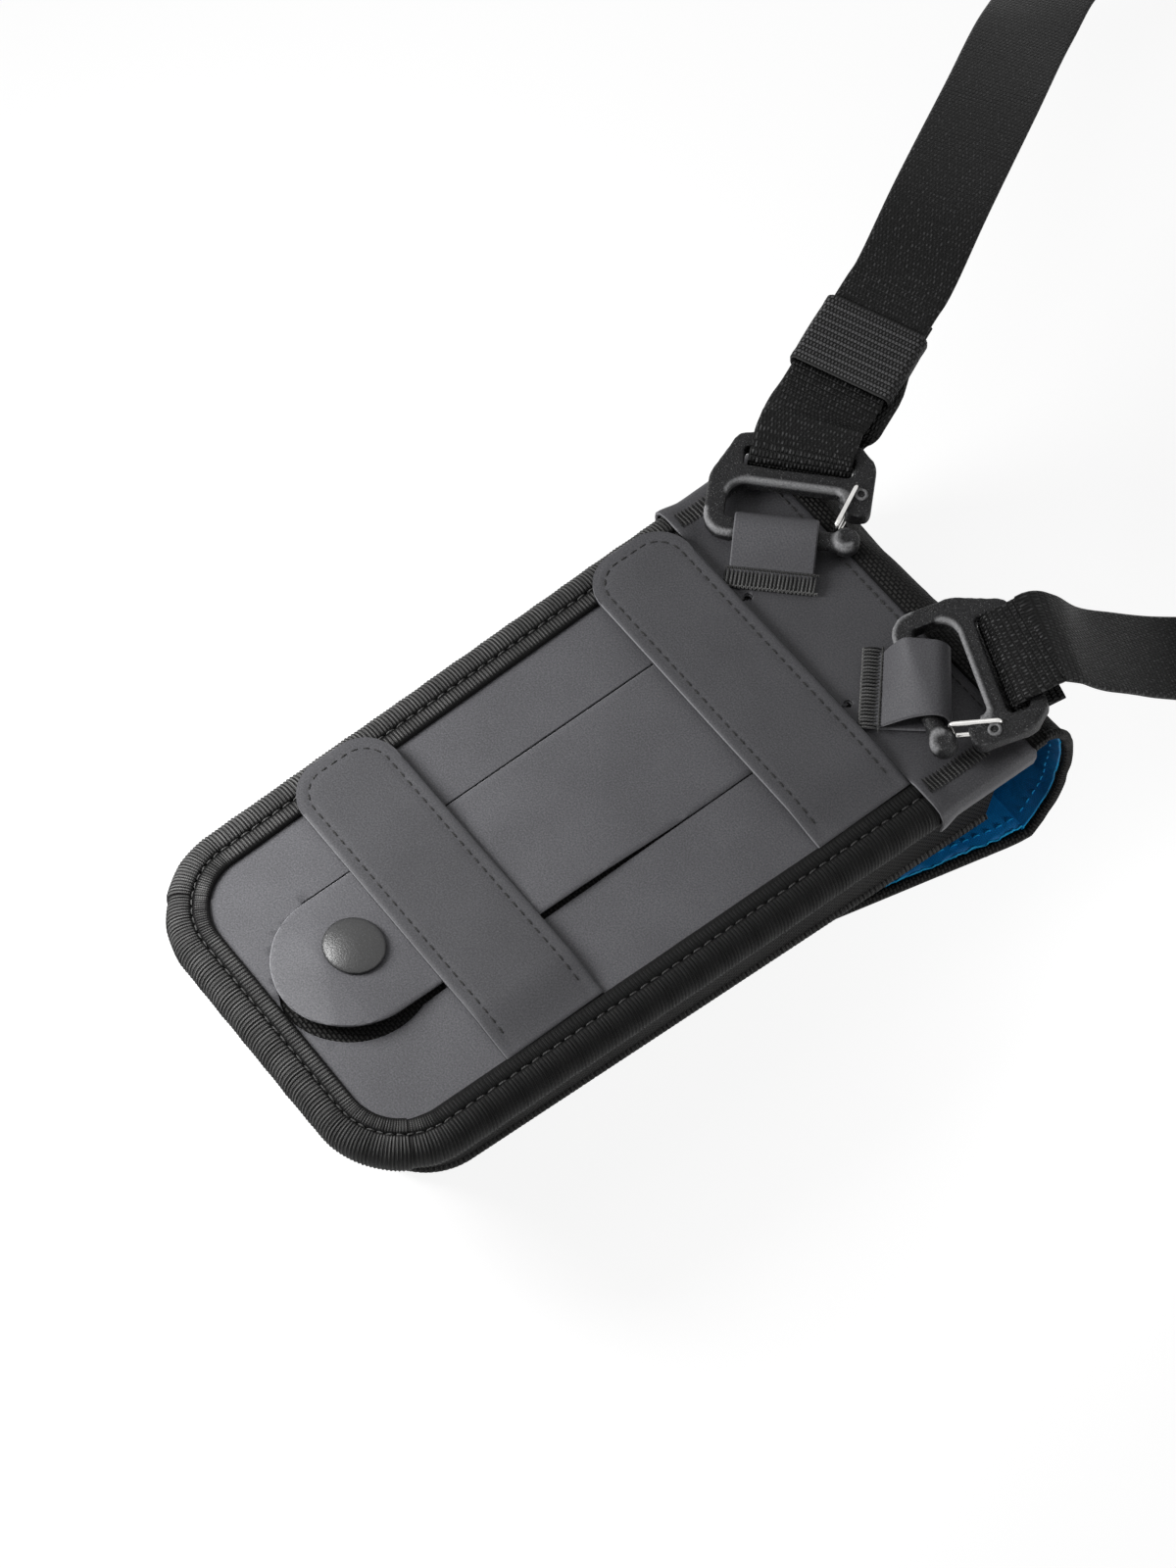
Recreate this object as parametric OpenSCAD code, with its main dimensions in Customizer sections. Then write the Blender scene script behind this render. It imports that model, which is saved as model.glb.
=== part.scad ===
// Flat shoulder pouch in coated tarpaulin, lying on its front flap with the back panel up.
// The back has two hook-and-loop bands over a snapped cut-out tongue, and two corner loops
// that carry wire-gate hooks with a webbing strap. X is across, +Y is towards the top seam.

/* [Pouch] */
// Width across the edge binding at the top seam
pouch_top_w = 108; // [90:1:140]
// Width across the edge binding at the bottom
pouch_bottom_w = 99; // [85:1:130]
// Distance from the origin to the top seam
pouch_top_y = 93.5; // [88:0.5:110]
// Distance from the origin to the bottom edge
pouch_bottom_y = 102.5; // [96:0.5:120]
// Outer radius of the two bottom corners
pouch_corner_r = 24; // [18:1:30]
// Height of the back panel's surface above the surface that the flap lies on
back_h = 52; // [44:1:64]

/* [Front pocket] */
// Width of the pocket's front at its mouth
front_top_w = 87; // [80:1:96]
// Width of the pocket's front at its bottom
front_bottom_w = 72.4; // [66:0.2:84]
// Distance from the origin to the pocket's bottom edge
front_bottom_y = 86; // [80:1:94]
// Distance from the origin to the pocket's mouth
front_top_y = 88; // [84:0.5:88]
// Corner radius of the pocket's front
front_corner_r = 18; // [12:1:24]

/* [Fabrics] */
// Thickness of the coated tarpaulin
tarp_t = 0.9; // [0.6:0.1:1.2]
// Thickness of the woven outer fabric
woven_t = 1.2; // [0.8:0.1:1.6]
// Thickness of the lining fabric
lining_t = 0.8; // [0.4:0.1:1]
// Thickness of the foam in the back
foam_t = 3.1; // [2:0.1:4]
// Thickness of each half of a hook-and-loop fastener
tape_t = 0.9; // [0.7:0.1:1]

/* [Binding] */
// Width of the binding on the back panel
binding_w = 10.5; // [8:0.5:13]
// Thickness of the ribbed binding tape
binding_t = 1.4; // [1:0.1:1.5]
// Height of the binding's rounded outer edge
binding_h = 9.4; // [8.6:0.1:12]

/* [Tongue and snap] */
// Width of the tongue between its slits
tongue_w = 37.5; // [30:0.5:40]
// Distance from the origin to the centre of the tongue's round end
tongue_end_y = 72; // [68:0.5:76]
// Distance from the origin to the stop holes at the top of the slits
slit_top_y = 62; // [60.8:0.2:66]
// Width of the slits
slit_w = 0.4; // [0.3:0.1:1]
// Radius of the stop holes
stop_hole_r = 1.1; // [0.8:0.1:2]
// Radius of the opening behind the tongue's round end
window_r = 19.6; // [19.4:0.1:21]
// Slope of the tongue's loose end
tongue_tilt = 8; // [4:0.5:10]
// Diameter of the snap's cap
cap_d = 15; // [12:0.5:17]
// Height of the snap's domed cap
cap_h = 3; // [2:0.1:4]
// Distance from the origin to the snap's centre
snap_y = 70; // [69:0.5:74]

/* [Bands] */
// Width of each hook-and-loop band
band_w = 27.8; // [20:0.2:28]
// Centre of the lower band, below the origin
band_lower_y = 45; // [30:0.5:45]
// Centre of the upper band, above the origin
band_upper_y = 45.7; // [30:0.1:45.7]
// Thickness of a band
band_t = 1.3; // [1:0.1:2]
// Radius of the corners at a band's free end
band_corner_r = 10; // [4:0.5:13]
// Distance by which a band's free end stops short of the binding's outer edge
band_end_inset = 2.6; // [1.5:0.1:4]

/* [Corner loops] */
// Width of a corner loop
loop_w = 20; // [16:0.5:20]
// Distance from the bartack's outer edge to the hook's bar
loop_reach = 9.2; // [8.6:0.2:11]
// Width of a bartack along the loop
bartack_w = 4.4; // [3:0.2:4.4]

/* [Hooks] */
// Clear width of the hook's strap slot
slot_w = 27; // [26:0.5:30]
// Clear height of the hook's strap slot
slot_h = 5.5; // [4.5:0.1:7]
// Thickness of the hook's plate
hook_t = 4.6; // [3.5:0.1:6]
// Diameter of the bar that the corner loop goes around
hook_bar_d = 4.8; // [4:0.1:5.2]
// Diameter of the gate's wire
wire_d = 1.3; // [1:0.1:1.8]

/* [Strap] */
// Width of the webbing
webbing_w = 25.4; // [20:0.1:25.4]
// Thickness of the webbing
webbing_t = 1.5; // [1.2:0.1:1.6]
// Length of the elastic keeper along the strap
keeper_l = 19.6; // [12:0.2:22]
// Number of runs in the folded part of the strap
fold_runs = 9; // [5:2:11]
// Length of one run of the folded part
fold_l = 77; // [60:1:84]
// Distance between neighbouring runs of the folded part
fold_pitch = 2.4; // [2.1:0.1:3]

/* [Hidden] */
$fn = 48;

// Colours
tarp_c = [0.22, 0.22, 0.23];
fabric_c = [0.07, 0.07, 0.075];
blue_c = [0.03, 0.28, 0.55];
metal_c = [0.12, 0.12, 0.13];
steel_c = [0.72, 0.72, 0.74];

// Clearances
gap = 0.3;          // between pieces that move past each other
cut = 0.5;          // how far a cutting shape runs past the face it cuts

// Heights of the layers in the back, each measured at its top face
panel_z = back_h;
underlay_t = 1;
underlay_z = panel_z - tarp_t;
foam_z = underlay_z - underlay_t;
back_lining_t = 0.6;
back_lining_z = foam_z - foam_t;
flange_z = back_lining_z - back_lining_t;
flange_t = 1.2;
binding_z = panel_z + binding_t;
binding_low_z = binding_z - binding_h;

// Heights of the layers in the front, each measured at its lower face
flap_lining_z = woven_t;
flap_tape_z = flap_lining_z + lining_t;
pocket_tape_z = flap_tape_z + tape_t + gap;
front_z = pocket_tape_z + tape_t;
front_inner_z = front_z + woven_t;
pocket_lining_t = 0.6;

// The binding's lap under the back, and where the gusset leaves it
seam_w = 6;
gusset_t = 1.2;
edge_clear = 0.2;
layer_inset = binding_t + edge_clear;
gusset_inset = seam_w + gap;
gusset_top_y = pouch_top_y - 1.1;
yoke_low_y = 60;
yoke_top_y = pouch_top_y - 3.5;
panel_top_y = pouch_top_y - 4;
corner_steps = 8;

// ---- plane outlines --------------------------------------------------------------------

function unit(v) = v / norm(v);
function arc(c, r, a0, a1, n) =
    [for (i = [0:n]) c + r * [cos(a0 + (a1 - a0) * i / n), sin(a0 + (a1 - a0) * i / n)]];

// A corner of an outline replaced by an arc of radius r
function corner(before, at, after, r, n) =
    let (d1 = unit(before - at), d2 = unit(after - at),
         half = acos(d1 * d2) / 2,
         c = at + unit(d1 + d2) * r / sin(half),
         s = at + d1 * r / tan(half) - c, e = at + d2 * r / tan(half) - c,
         a0 = atan2(s.y, s.x), da = atan2(e.y, e.x) - a0,
         turn = da > 180 ? da - 360 : (da < -180 ? da + 360 : da))
    arc(c, r, a0, a0 + turn, n);
function rounded(pts, radii, n = 8) =
    [for (i = [0:len(pts) - 1])
        let (k = len(pts), r = radii[i])
        each (r > 0 ? corner(pts[(i + k - 1) % k], pts[i], pts[(i + 1) % k], r, n) : [pts[i]])];

// A U-shaped outline with leaning sides, drawn in by inset everywhere except at its top
function u_outline(bottom_w, top_w, bottom_y, top_y, r, inset) =
    let (lean = atan((top_w - bottom_w) / 2 / (top_y + bottom_y)),
         side = inset / cos(lean),
         low = -bottom_y + inset,
         wide_at_low = bottom_w / 2 + inset * tan(lean) - side,
         wide_at_top = top_w / 2 - side)
    rounded([[wide_at_top, top_y], [-wide_at_top, top_y], [-wide_at_low, low], [wide_at_low, low]],
            [0, 0, r - inset, r - inset], corner_steps);
function back_outline(inset, top_y = pouch_top_y) =
    u_outline(pouch_bottom_w,
              pouch_bottom_w + (pouch_top_w - pouch_bottom_w) * (top_y + pouch_bottom_y)
                  / (pouch_top_y + pouch_bottom_y),
              pouch_bottom_y, top_y, pouch_corner_r, inset);
function front_outline(inset, top_y = front_top_y) =
    u_outline(front_bottom_w,
              front_bottom_w + (front_top_w - front_bottom_w) * (top_y + front_bottom_y)
                  / (front_top_y + front_bottom_y),
              front_bottom_y, top_y, front_corner_r, inset);
function half_w(y) = (pouch_bottom_w + (pouch_top_w - pouch_bottom_w)
    * (y + pouch_bottom_y) / (pouch_top_y + pouch_bottom_y)) / 2;

module plate(points, z, t) {
    translate([0, 0, z]) linear_extrude(t) polygon(points);
}
module across(from_y, to_y) {
    translate([-pouch_top_w, from_y, -cut]) cube([2 * pouch_top_w, to_y - from_y, 2 * back_h]);
}

// A closed skin around rings of points. The rings have the same count of points, and each runs
// anticlockwise as seen from the ring after it.
module skin(rings) {
    n = len(rings[0]);
    k = len(rings);
    polyhedron(
        points = [for (r = rings) each r],
        faces = concat(
            [[for (i = [0:n - 1]) i]],
            [[for (i = [n - 1:-1:0]) (k - 1) * n + i]],
            [for (j = [0:k - 2]) for (i = [0:n - 1])
                [j * n + i, (j + 1) * n + (i + 1) % n, j * n + (i + 1) % n]],
            [for (j = [0:k - 2]) for (i = [0:n - 1])
                [j * n + i, (j + 1) * n + i, (j + 1) * n + (i + 1) % n]]),
        convexity = 6);
}
function raised(points, z) = [for (p = points) [p.x, p.y, z]];

// ---- back ------------------------------------------------------------------------------

tongue_x = -2.3;
tongue_half = tongue_w / 2;
tongue_hinge_y = -(band_lower_y + band_w / 2 + 0.7);
tongue_rise = 0.6;
tongue_clear = 0.4;            // between the hinge and each half, so that the lifted tip clears
tongue_hinge_z = panel_z + tongue_rise + tarp_t / 2;
snap_x = -3.5;

module tongue_opening() {
    half = tongue_half + slit_w;
    translate([tongue_x - half, -tongue_end_y]) square([2 * half, tongue_end_y + slit_top_y]);
    translate([tongue_x + 0.9, -tongue_end_y - 0.4]) circle(window_r, $fn = 96);
    for (side = [-1, 1]) translate([tongue_x + side * (tongue_half + slit_w / 2), slit_top_y])
        circle(stop_hole_r);
}

module back_panel() color(tarp_c) difference() {
    plate(back_outline(layer_inset, panel_top_y), underlay_z, tarp_t);
    translate([0, 0, underlay_z - cut]) linear_extrude(tarp_t + 2 * cut) tongue_opening();
}

// The yoke lies on the panel and folds down over the ends of the binding at both sides
module yoke() color(tarp_c) intersection() {
    across(yoke_low_y, yoke_top_y);
    difference() {
        union() {
            plate(back_outline(0), panel_z, tarp_t);
            plate(back_outline(0), binding_low_z, panel_z - binding_low_z);
        }
        plate(back_outline(tarp_t, 2 * pouch_top_y), binding_low_z + tarp_t,
              panel_z - binding_low_z - tarp_t);
        plate(back_outline(seam_w, 2 * pouch_top_y), binding_low_z - cut, 2 * cut + tarp_t);
        translate([0, 0, panel_z - cut]) linear_extrude(tarp_t + 2 * cut)
            for (side = [-1, 1]) translate([tongue_x + side * (tongue_half + slit_w / 2), 0]) {
                translate([0, slit_top_y]) circle(stop_hole_r);
                translate([-slit_w / 2, yoke_low_y - cut])
                    square([slit_w, slit_top_y - yoke_low_y + cut]);
            }
    }
}

yoke_tack_l = 18;
yoke_tack_w = 3.5;
yoke_tack_right = 7.6;
yoke_tack_left = 5.2;
thread_t = 0.4;
module yoke_bartacks() color(fabric_c) {
    for (x = [half_w(slit_top_y) - yoke_tack_right, -half_w(slit_top_y) + yoke_tack_left])
        translate([x - yoke_tack_w / 2, slit_top_y, panel_z + tarp_t])
            cube([yoke_tack_w, yoke_tack_l, thread_t]);
}

rivet_d = 3;
rivet_flange_d = 10;
rivet_flange_t = 0.7;
module rivet_hole(d, z, h) {
    translate([snap_x, -snap_y, z - cut]) cylinder(d = d, h = h + 2 * cut);
}
module back_underlay() color(fabric_c) difference() {
    plate(back_outline(layer_inset, panel_top_y), foam_z, underlay_t);
    rivet_hole(rivet_d, foam_z, underlay_t);
}
module back_foam() color([0.3, 0.3, 0.3]) difference() {
    plate(back_outline(layer_inset + 1, panel_top_y), back_lining_z, foam_t);
    rivet_hole(rivet_flange_d + 2 * edge_clear, back_lining_z, foam_t);
}
module back_lining() color(blue_c) plate(back_outline(layer_inset, panel_top_y), flange_z, back_lining_t);

// Binding: a rounded tape around the left, bottom and right edges
roll_r = 2.2;
function binding_section() = let (low = binding_low_z, top = binding_z) concat(
    [[binding_w, panel_z], [binding_w, top - 0.3], [binding_w - 0.4, top]],
    [for (p = arc([roll_r, top - roll_r], roll_r, 90, 180, 4)) p],
    [for (p = arc([roll_r, low + roll_r], roll_r, 180, 270, 4)) p],
    [[seam_w, low], [seam_w, flange_z - flange_t], [binding_t, flange_z - flange_t],
     [binding_t, panel_z]]);
// The outline's first point is its top right corner, so the binding starts at the second one
function binding_point(inset, k) =
    let (full = back_outline(inset, yoke_low_y)) full[(k + 1) % len(full)];
module edge_binding() color(fabric_c)
    skin([for (k = [0:len(back_outline(0)) - 1])
        [for (p = binding_section()) let (q = binding_point(p.x, k)) [q.x, q.y, p.y]]]);

module top_seam_tape() color(fabric_c) {
    x = half_w(pouch_top_y) - 1;
    translate([-x, panel_top_y, foam_z]) cube([2 * x, pouch_top_y - panel_top_y, 1.6]);
}

// ---- tongue and snap -------------------------------------------------------------------

// The tongue runs level with the panel under the upper band and rises towards its loose end
module tongue_strap() color(tarp_c) {
    low = underlay_z;
    end_z = panel_z + tongue_rise;
    end_y = tongue_hinge_y + tongue_clear;
    half = tongue_half;
    side = [[slit_top_y, low], [20, low], [-30, end_z - 0.1], [end_y, end_z],
            [end_y, end_z + tarp_t], [-30, end_z + tarp_t - 0.1], [20, low + tarp_t],
            [slit_top_y, low + tarp_t]];
    translate([tongue_x - half, 0, 0]) rotate([90, 0, 90]) linear_extrude(2 * half) polygon(side);
}

module on_tongue_tip() {
    translate([0, tongue_hinge_y, tongue_hinge_z]) rotate([-tongue_tilt, 0, 0]) children();
}
tip_end = tongue_end_y + tongue_hinge_y;       // hinge to the centre of the round end
snap_run = (snap_y + tongue_hinge_y) / cos(tongue_tilt);
module tongue_tip() color(tarp_c) on_tongue_tip() difference() {
    translate([tongue_x, 0, -tarp_t / 2]) linear_extrude(tarp_t) intersection() {
        union() {
            translate([0, -tip_end]) circle(tongue_half, $fn = 96);
            translate([-tongue_half, -tip_end]) square([tongue_w, tip_end]);
        }
        translate([-tongue_w, -2 * tongue_w - tongue_clear]) square(2 * tongue_w);
    }
    translate([snap_x, -snap_run, -tarp_t]) cylinder(d = rivet_d, h = 2 * tarp_t);
}
// The cap is a shallow dome with a rolled rim, on a shank through the tongue
module snap_cap() color(metal_c) on_tongue_tip() translate([snap_x, -snap_run, tarp_t / 2]) {
    rim = 0.8;
    rotate_extrude($fn = 96) polygon(concat(
        [[0, 0], [cap_d / 2 - rim, 0]],
        arc([cap_d / 2 - rim, rim], rim, -90, 60, 6),
        [[cap_d / 2 * 0.72, cap_h * 0.78], [cap_d / 2 * 0.45, cap_h * 0.95], [0, cap_h]]));
    translate([0, 0, -tarp_t]) cylinder(d = rivet_d, h = tarp_t + rim / 2);
}
socket_t = 1.5;
socket_bore = 6.6;
module snap_socket() color(steel_c) on_tongue_tip()
    translate([snap_x, -snap_run, -tarp_t / 2 - socket_t]) difference() {
        cylinder(d = cap_d - 3, h = socket_t);
        translate([0, 0, -cut]) cylinder(d = socket_bore, h = socket_t - 0.5 + cut);
    }
stud_flange_t = 0.4;
stud_h = 1.1;
module snap_stud() color(steel_c) translate([snap_x, -snap_y, underlay_z]) difference() {
    union() {
        cylinder(d = socket_bore + 1.4, h = stud_flange_t);
        cylinder(d = socket_bore - 1.4, h = stud_flange_t + stud_h);
    }
    translate([0, 0, -cut]) cylinder(d = rivet_d, h = stud_flange_t + cut);
}
module snap_rivet() color(steel_c) translate([snap_x, -snap_y, foam_z - rivet_flange_t]) {
    cylinder(d = rivet_flange_d, h = rivet_flange_t);
    cylinder(d = rivet_d, h = rivet_flange_t + underlay_t + stud_flange_t);
}

// ---- bands -----------------------------------------------------------------------------

band_lift = 2;
band_root_lift = 0.5;
band_root_gap = 1.8;
function band_hinge_x(y) = half_w(y) - binding_w - band_root_gap;
band_hinge_z = panel_z + band_root_lift + band_t / 2;
module band(y) {
    hinge_x = band_hinge_x(y);
    end_x = -half_w(y) + band_end_inset;
    bend_x = hinge_x - 10;
    under = panel_z + band_lift;
    low = panel_z + band_root_lift;
    intersection() {
        plate(rounded([[end_x, y - band_w / 2], [hinge_x, y - band_w / 2],
                       [hinge_x, y + band_w / 2], [end_x, y + band_w / 2]],
                      [band_corner_r, 0, 0, band_corner_r]), panel_z, 8);
        translate([0, y + band_w, 0]) rotate([90, 0, 0]) linear_extrude(2 * band_w)
            polygon([[end_x, under], [bend_x, under], [hinge_x - gap, low],
                     [hinge_x - gap, low + band_t], [bend_x, under + band_t],
                     [end_x, under + band_t]]);
    }
}
module band_lower() color(tarp_c) band(-band_lower_y);
module band_upper() color(tarp_c) band(band_upper_y);
tape_l = 13;
tape_inset = 3;
module band_tape(y, z, t) {
    x = -half_w(y) + binding_w + 1.2;
    translate([x, y - band_w / 2 + tape_inset, z]) cube([tape_l, band_w - 2 * tape_inset, t]);
}
module band_hook_tape(y) band_tape(y, panel_z + tape_t + gap, band_lift - tape_t - gap);
module band_loop_tape(y) band_tape(y, panel_z, tape_t);
module band_hook_tape_lower() color(fabric_c) band_hook_tape(-band_lower_y);
module band_hook_tape_upper() color(fabric_c) band_hook_tape(band_upper_y);
module band_loop_tape_lower() color(fabric_c) band_loop_tape(-band_lower_y);
module band_loop_tape_upper() color(fabric_c) band_loop_tape(band_upper_y);

// ---- gussets and pocket ----------------------------------------------------------------

gusset_split_y = -60;
module gusset_shell() {
    low = front_inner_z;
    top = flange_z - flange_t;
    difference() {
        union() {
            skin([raised(front_outline(0), low), raised(back_outline(gusset_inset, gusset_top_y), top)]);
            plate(back_outline(layer_inset, gusset_top_y), top, flange_t);
        }
        skin([raised(front_outline(gusset_t, front_top_y + 2 * cut), low - cut),
              raised(back_outline(gusset_inset + gusset_t, gusset_top_y + 2 * cut), top + cut)]);
        plate(back_outline(gusset_inset + gusset_t, gusset_top_y + 2 * cut), top, flange_t + cut);
    }
}
module gusset_side(side) intersection() {
    gusset_shell();
    translate([side > 0 ? 0 : -pouch_top_w, gusset_split_y, 0])
        cube([pouch_top_w, 2 * pouch_top_y, back_h]);
}
module gusset_left() color(fabric_c) gusset_side(-1);
module gusset_right() color(fabric_c) gusset_side(1);
module gusset_bottom() color(fabric_c) intersection() {
    gusset_shell();
    across(-2 * pouch_bottom_y, gusset_split_y);
}
module pocket_front() color(fabric_c) plate(front_outline(0), front_z, woven_t);
mouth_w = 3;
module pocket_lining() color(blue_c)
    plate(front_outline(gusset_t + gap, front_top_y - mouth_w), front_inner_z, pocket_lining_t);
module mouth_binding() color(fabric_c) {
    x = front_top_w / 2 - gusset_t - 1;
    translate([-x, front_top_y - mouth_w, front_inner_z]) cube([2 * x, mouth_w, woven_t]);
    translate([-x, front_top_y, front_z]) cube([2 * x, 0.8, 2 * woven_t]);
}

closure_w = 40;
closure_l = 30;
closure_y = 4;
module closure(z)
    translate([-closure_w / 2, closure_y - closure_l / 2, z]) cube([closure_w, closure_l, tape_t]);
module pocket_loop_tape() color(fabric_c) closure(pocket_tape_z);
module flap_hook_tape() color(fabric_c) closure(flap_tape_z);

// ---- flap ------------------------------------------------------------------------------

flap_x = half_w(pouch_top_y) - 0.5;
flap_hinge_y = pouch_top_y;
flap_hinge_z = panel_z - 1;
fold_y = pouch_top_y + 0.5;
fold_z = (woven_t + lining_t) / 2;
flap_end_y = -20;
flap_end_w = 52;
flap_end_r = 14;
// Depth of the bulge at shares of the height between the top seam and the fold
bulge = [[0, 0.7], [0.12, 4], [0.3, 8.4], [0.5, 10], [0.7, 8.8], [0.88, 4.6], [1, 1]];
bulge_top_z = flap_hinge_z - 0.8;
bulge_low_z = fold_z + 2.2;
function bulge_side(off) =
    let (pts = [for (b = bulge) [pouch_top_y + b[1], bulge_top_z + (bulge_low_z - bulge_top_z) * b[0]]])
    [for (i = [0:len(pts) - 1])
        let (d = unit(pts[min(i + 1, len(pts) - 1)] - pts[max(i - 1, 0)]))
        pts[i] + off * [-d.y, d.x]];
module flap_top(from_off, to_off) {
    inner = bulge_side(from_off);
    outer = bulge_side(to_off);
    translate([-flap_x, 0, 0]) rotate([90, 0, 90]) linear_extrude(2 * flap_x)
        polygon(concat(outer, [for (i = [len(inner) - 1:-1:0]) inner[i]]));
}
module flap_top_outer() color(fabric_c) flap_top(0, woven_t);
module flap_top_lining() color(blue_c) flap_top(-lining_t, 0);
module flap_front(z, t, inset) {
    top = fold_y - gap;
    plate(rounded([[flap_x - inset, top], [-flap_x + inset, top],
                   [-flap_end_w / 2 + inset, flap_end_y + inset],
                   [flap_end_w / 2 - inset, flap_end_y + inset]],
                  [0, 0, flap_end_r, flap_end_r]), z, t);
}
module flap_front_outer() color(fabric_c) flap_front(0, woven_t, 0);
module flap_front_lining() color(blue_c) flap_front(flap_lining_z, lining_t, 0.8);

// ---- hooks -----------------------------------------------------------------------------

// Place of each hook's bar, the turn of the hook in plan, its pitch and the loop's own turn
loop_bore_r = hook_bar_d / 2 + 1.2;
loop_outer_r = loop_bore_r + tarp_t;
left_at = [-26.5, 78.8, panel_z + tarp_t + loop_outer_r];
left_turn = 43;
left_pitch = 2.5;
left_loop_turn = 45;
right_at = [28, 75.6, panel_z + tarp_t + loop_outer_r + 1];
right_turn = -22.4;
right_pitch = 13.5;
right_loop_turn = -43;
loop_offset = -3;              // loop's centre along the bar

module at_hook(at, turn, pitch) {
    translate(at) rotate([0, 0, turn]) rotate([pitch, 0, 0]) children();
}
// Outline of the plate: a G that is open towards the gate
hook_left_x = -21.3;
hook_right_x = 19.2;
opening_left_x = -16.3;
opening_right_x = 13;
bar_y = hook_bar_d / 2;
main_bar_y = 13;
slot_y = 17.5;
slot_top_y = slot_y + slot_h;
hook_top_y = slot_top_y + 4;
nose_at = [14.2, 0.6];
nose_r = 3.4;
post_low_y = 7;
pivot_at = [16.3, 13];
pivot_d = 1.6;
gate_end = [11, 3.7];

module hook_outline() difference() {
    polygon(rounded(
        [[hook_left_x, -bar_y], [nose_at.x, -bar_y], [nose_at.x, bar_y], [opening_left_x, bar_y],
         [opening_left_x, main_bar_y], [opening_right_x, main_bar_y], [opening_right_x, post_low_y],
         [hook_right_x, post_low_y], [hook_right_x, 22], [slot_w / 2 + 1, hook_top_y],
         [-slot_w / 2 - 2, hook_top_y], [hook_left_x, 14]],
        [6, 0, 0, 1.5, 1.5, 1.5, 0.8, 2.5, 5, 3, 4, 5]));
    translate([-slot_w / 2, slot_y]) square([slot_w, slot_h]);
}
module hook() {
    half = hook_t / 2;
    bar_half = (loop_w + 5.5) / 2;
    difference() {
        union() {
            difference() {
                translate([0, 0, -half]) linear_extrude(hook_t) hook_outline();
                // the plate gives way to a round bar where the corner loop goes
                translate([loop_offset - bar_half, -bar_y - cut, -hook_t])
                    cube([2 * bar_half, 2 * bar_y + 2 * cut, 2 * hook_t]);
            }
            translate([loop_offset - bar_half - 1, 0, 0]) rotate([0, 90, 0])
                cylinder(d = hook_bar_d, h = 2 * bar_half + 2);
            translate([nose_at.x, nose_at.y, -half]) cylinder(r = nose_r, h = hook_t);
            // raised rim along the main bar
            translate([-slot_w / 2, main_bar_y + 1, -half - 0.4])
                cube([slot_w, 2.4, hook_t + 0.8]);
        }
        translate([pivot_at.x, pivot_at.y, -hook_t]) cylinder(d = pivot_d, h = 2 * hook_t);
    }
}
module hook_left() color(metal_c) at_hook(left_at, left_turn, left_pitch) hook();
module hook_right() color(metal_c) at_hook(right_at, right_turn, right_pitch) hook();

// A round wire along a plane path, with rings square to it
module plane_wire(p, d) {
    last = len(p) - 1;
    sides = 8;
    skin([for (i = [0:last]) let (t = unit(p[min(i + 1, last)] - p[max(i - 1, 0)]))
        [for (k = [0:sides - 1]) let (a = 360 * k / sides)
            [p[i].x - t.y * d / 2 * cos(a), p[i].y + t.x * d / 2 * cos(a), d / 2 * sin(a)]]]);
}
// Wire gate: a U with a leg on each face of the hook, its ends in the pivot hole
gate_bend_r = 1;
module gate() {
    pivot_end = 0.6;
    z = hook_t / 2 + wire_d / 2 + gap;
    reach = norm(gate_end - pivot_at);
    turn = atan2(gate_end.y - pivot_at.y, gate_end.x - pivot_at.x) - 90;
    u = [[pivot_end, 0], [z, 0], [z, reach], [-z, reach], [-z, 0], [-pivot_end, 0]];
    translate([pivot_at.x, pivot_at.y, 0]) rotate([0, 0, turn]) rotate([0, -90, 0])
        plane_wire(concat([u[0]], [for (i = [1:4]) each corner(u[i - 1], u[i], u[i + 1], gate_bend_r, 4)],
                          [u[5]]), wire_d);
}
module gate_left() color(steel_c) at_hook(left_at, left_turn, left_pitch) gate();
module gate_right() color(steel_c) at_hook(right_at, right_turn, right_pitch) gate();

// ---- corner loops ----------------------------------------------------------------------

// Section of a loop: level at the sewn tab, round about the bar. shift moves the bar outwards.
function loop_section(r, tab_y, low, top, shift, bar_h) = concat(
    [[tab_y, low], [shift, bar_h - r]],
    [for (p = arc([shift, bar_h], r, -70, 110, 12)) p],
    [[tab_y, top]]);
module loop_body(r, tab_y, low, top, half, skew, bar_h) {
    skin([for (x = [-half, half])
        [for (p = loop_section(r, tab_y, low, top, x * tan(skew), bar_h)) [x, p.x, p.y]]]);
}
module loop(at, turn, hook_turn) {
    tab_t = 2 * tarp_t;
    base = panel_z + tarp_t;
    bar_h = at.z - base;
    skew = hook_turn - turn;
    centre = [at.x + loop_offset * cos(hook_turn), at.y + loop_offset * sin(hook_turn), base];
    tab_y = -loop_reach;
    translate(centre) rotate([0, 0, turn]) {
        difference() {
            loop_body(loop_outer_r, tab_y, 0, tab_t, loop_w / 2, skew, bar_h);
            loop_body(loop_bore_r, tab_y + 0.4, tarp_t - 0.02, tarp_t + 0.02, loop_w / 2 + cut, skew, bar_h);
        }
        translate([-loop_w / 2, tab_y - bartack_w, 0]) cube([loop_w, bartack_w, tab_t]);
    }
}
module loop_left() color(tarp_c) loop(left_at, left_loop_turn, left_turn);
module loop_right() color(tarp_c) loop(right_at, right_loop_turn, right_turn);
module loop_bartack(at, turn, hook_turn) {
    over = 0.8;
    centre = [at.x + loop_offset * cos(hook_turn), at.y + loop_offset * sin(hook_turn),
              panel_z + 3 * tarp_t];
    translate(centre) rotate([0, 0, turn])
        translate([-loop_w / 2 + over, -loop_reach - bartack_w + 0.4, 0])
            cube([loop_w - 2 * over, bartack_w - over, thread_t]);
}
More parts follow.
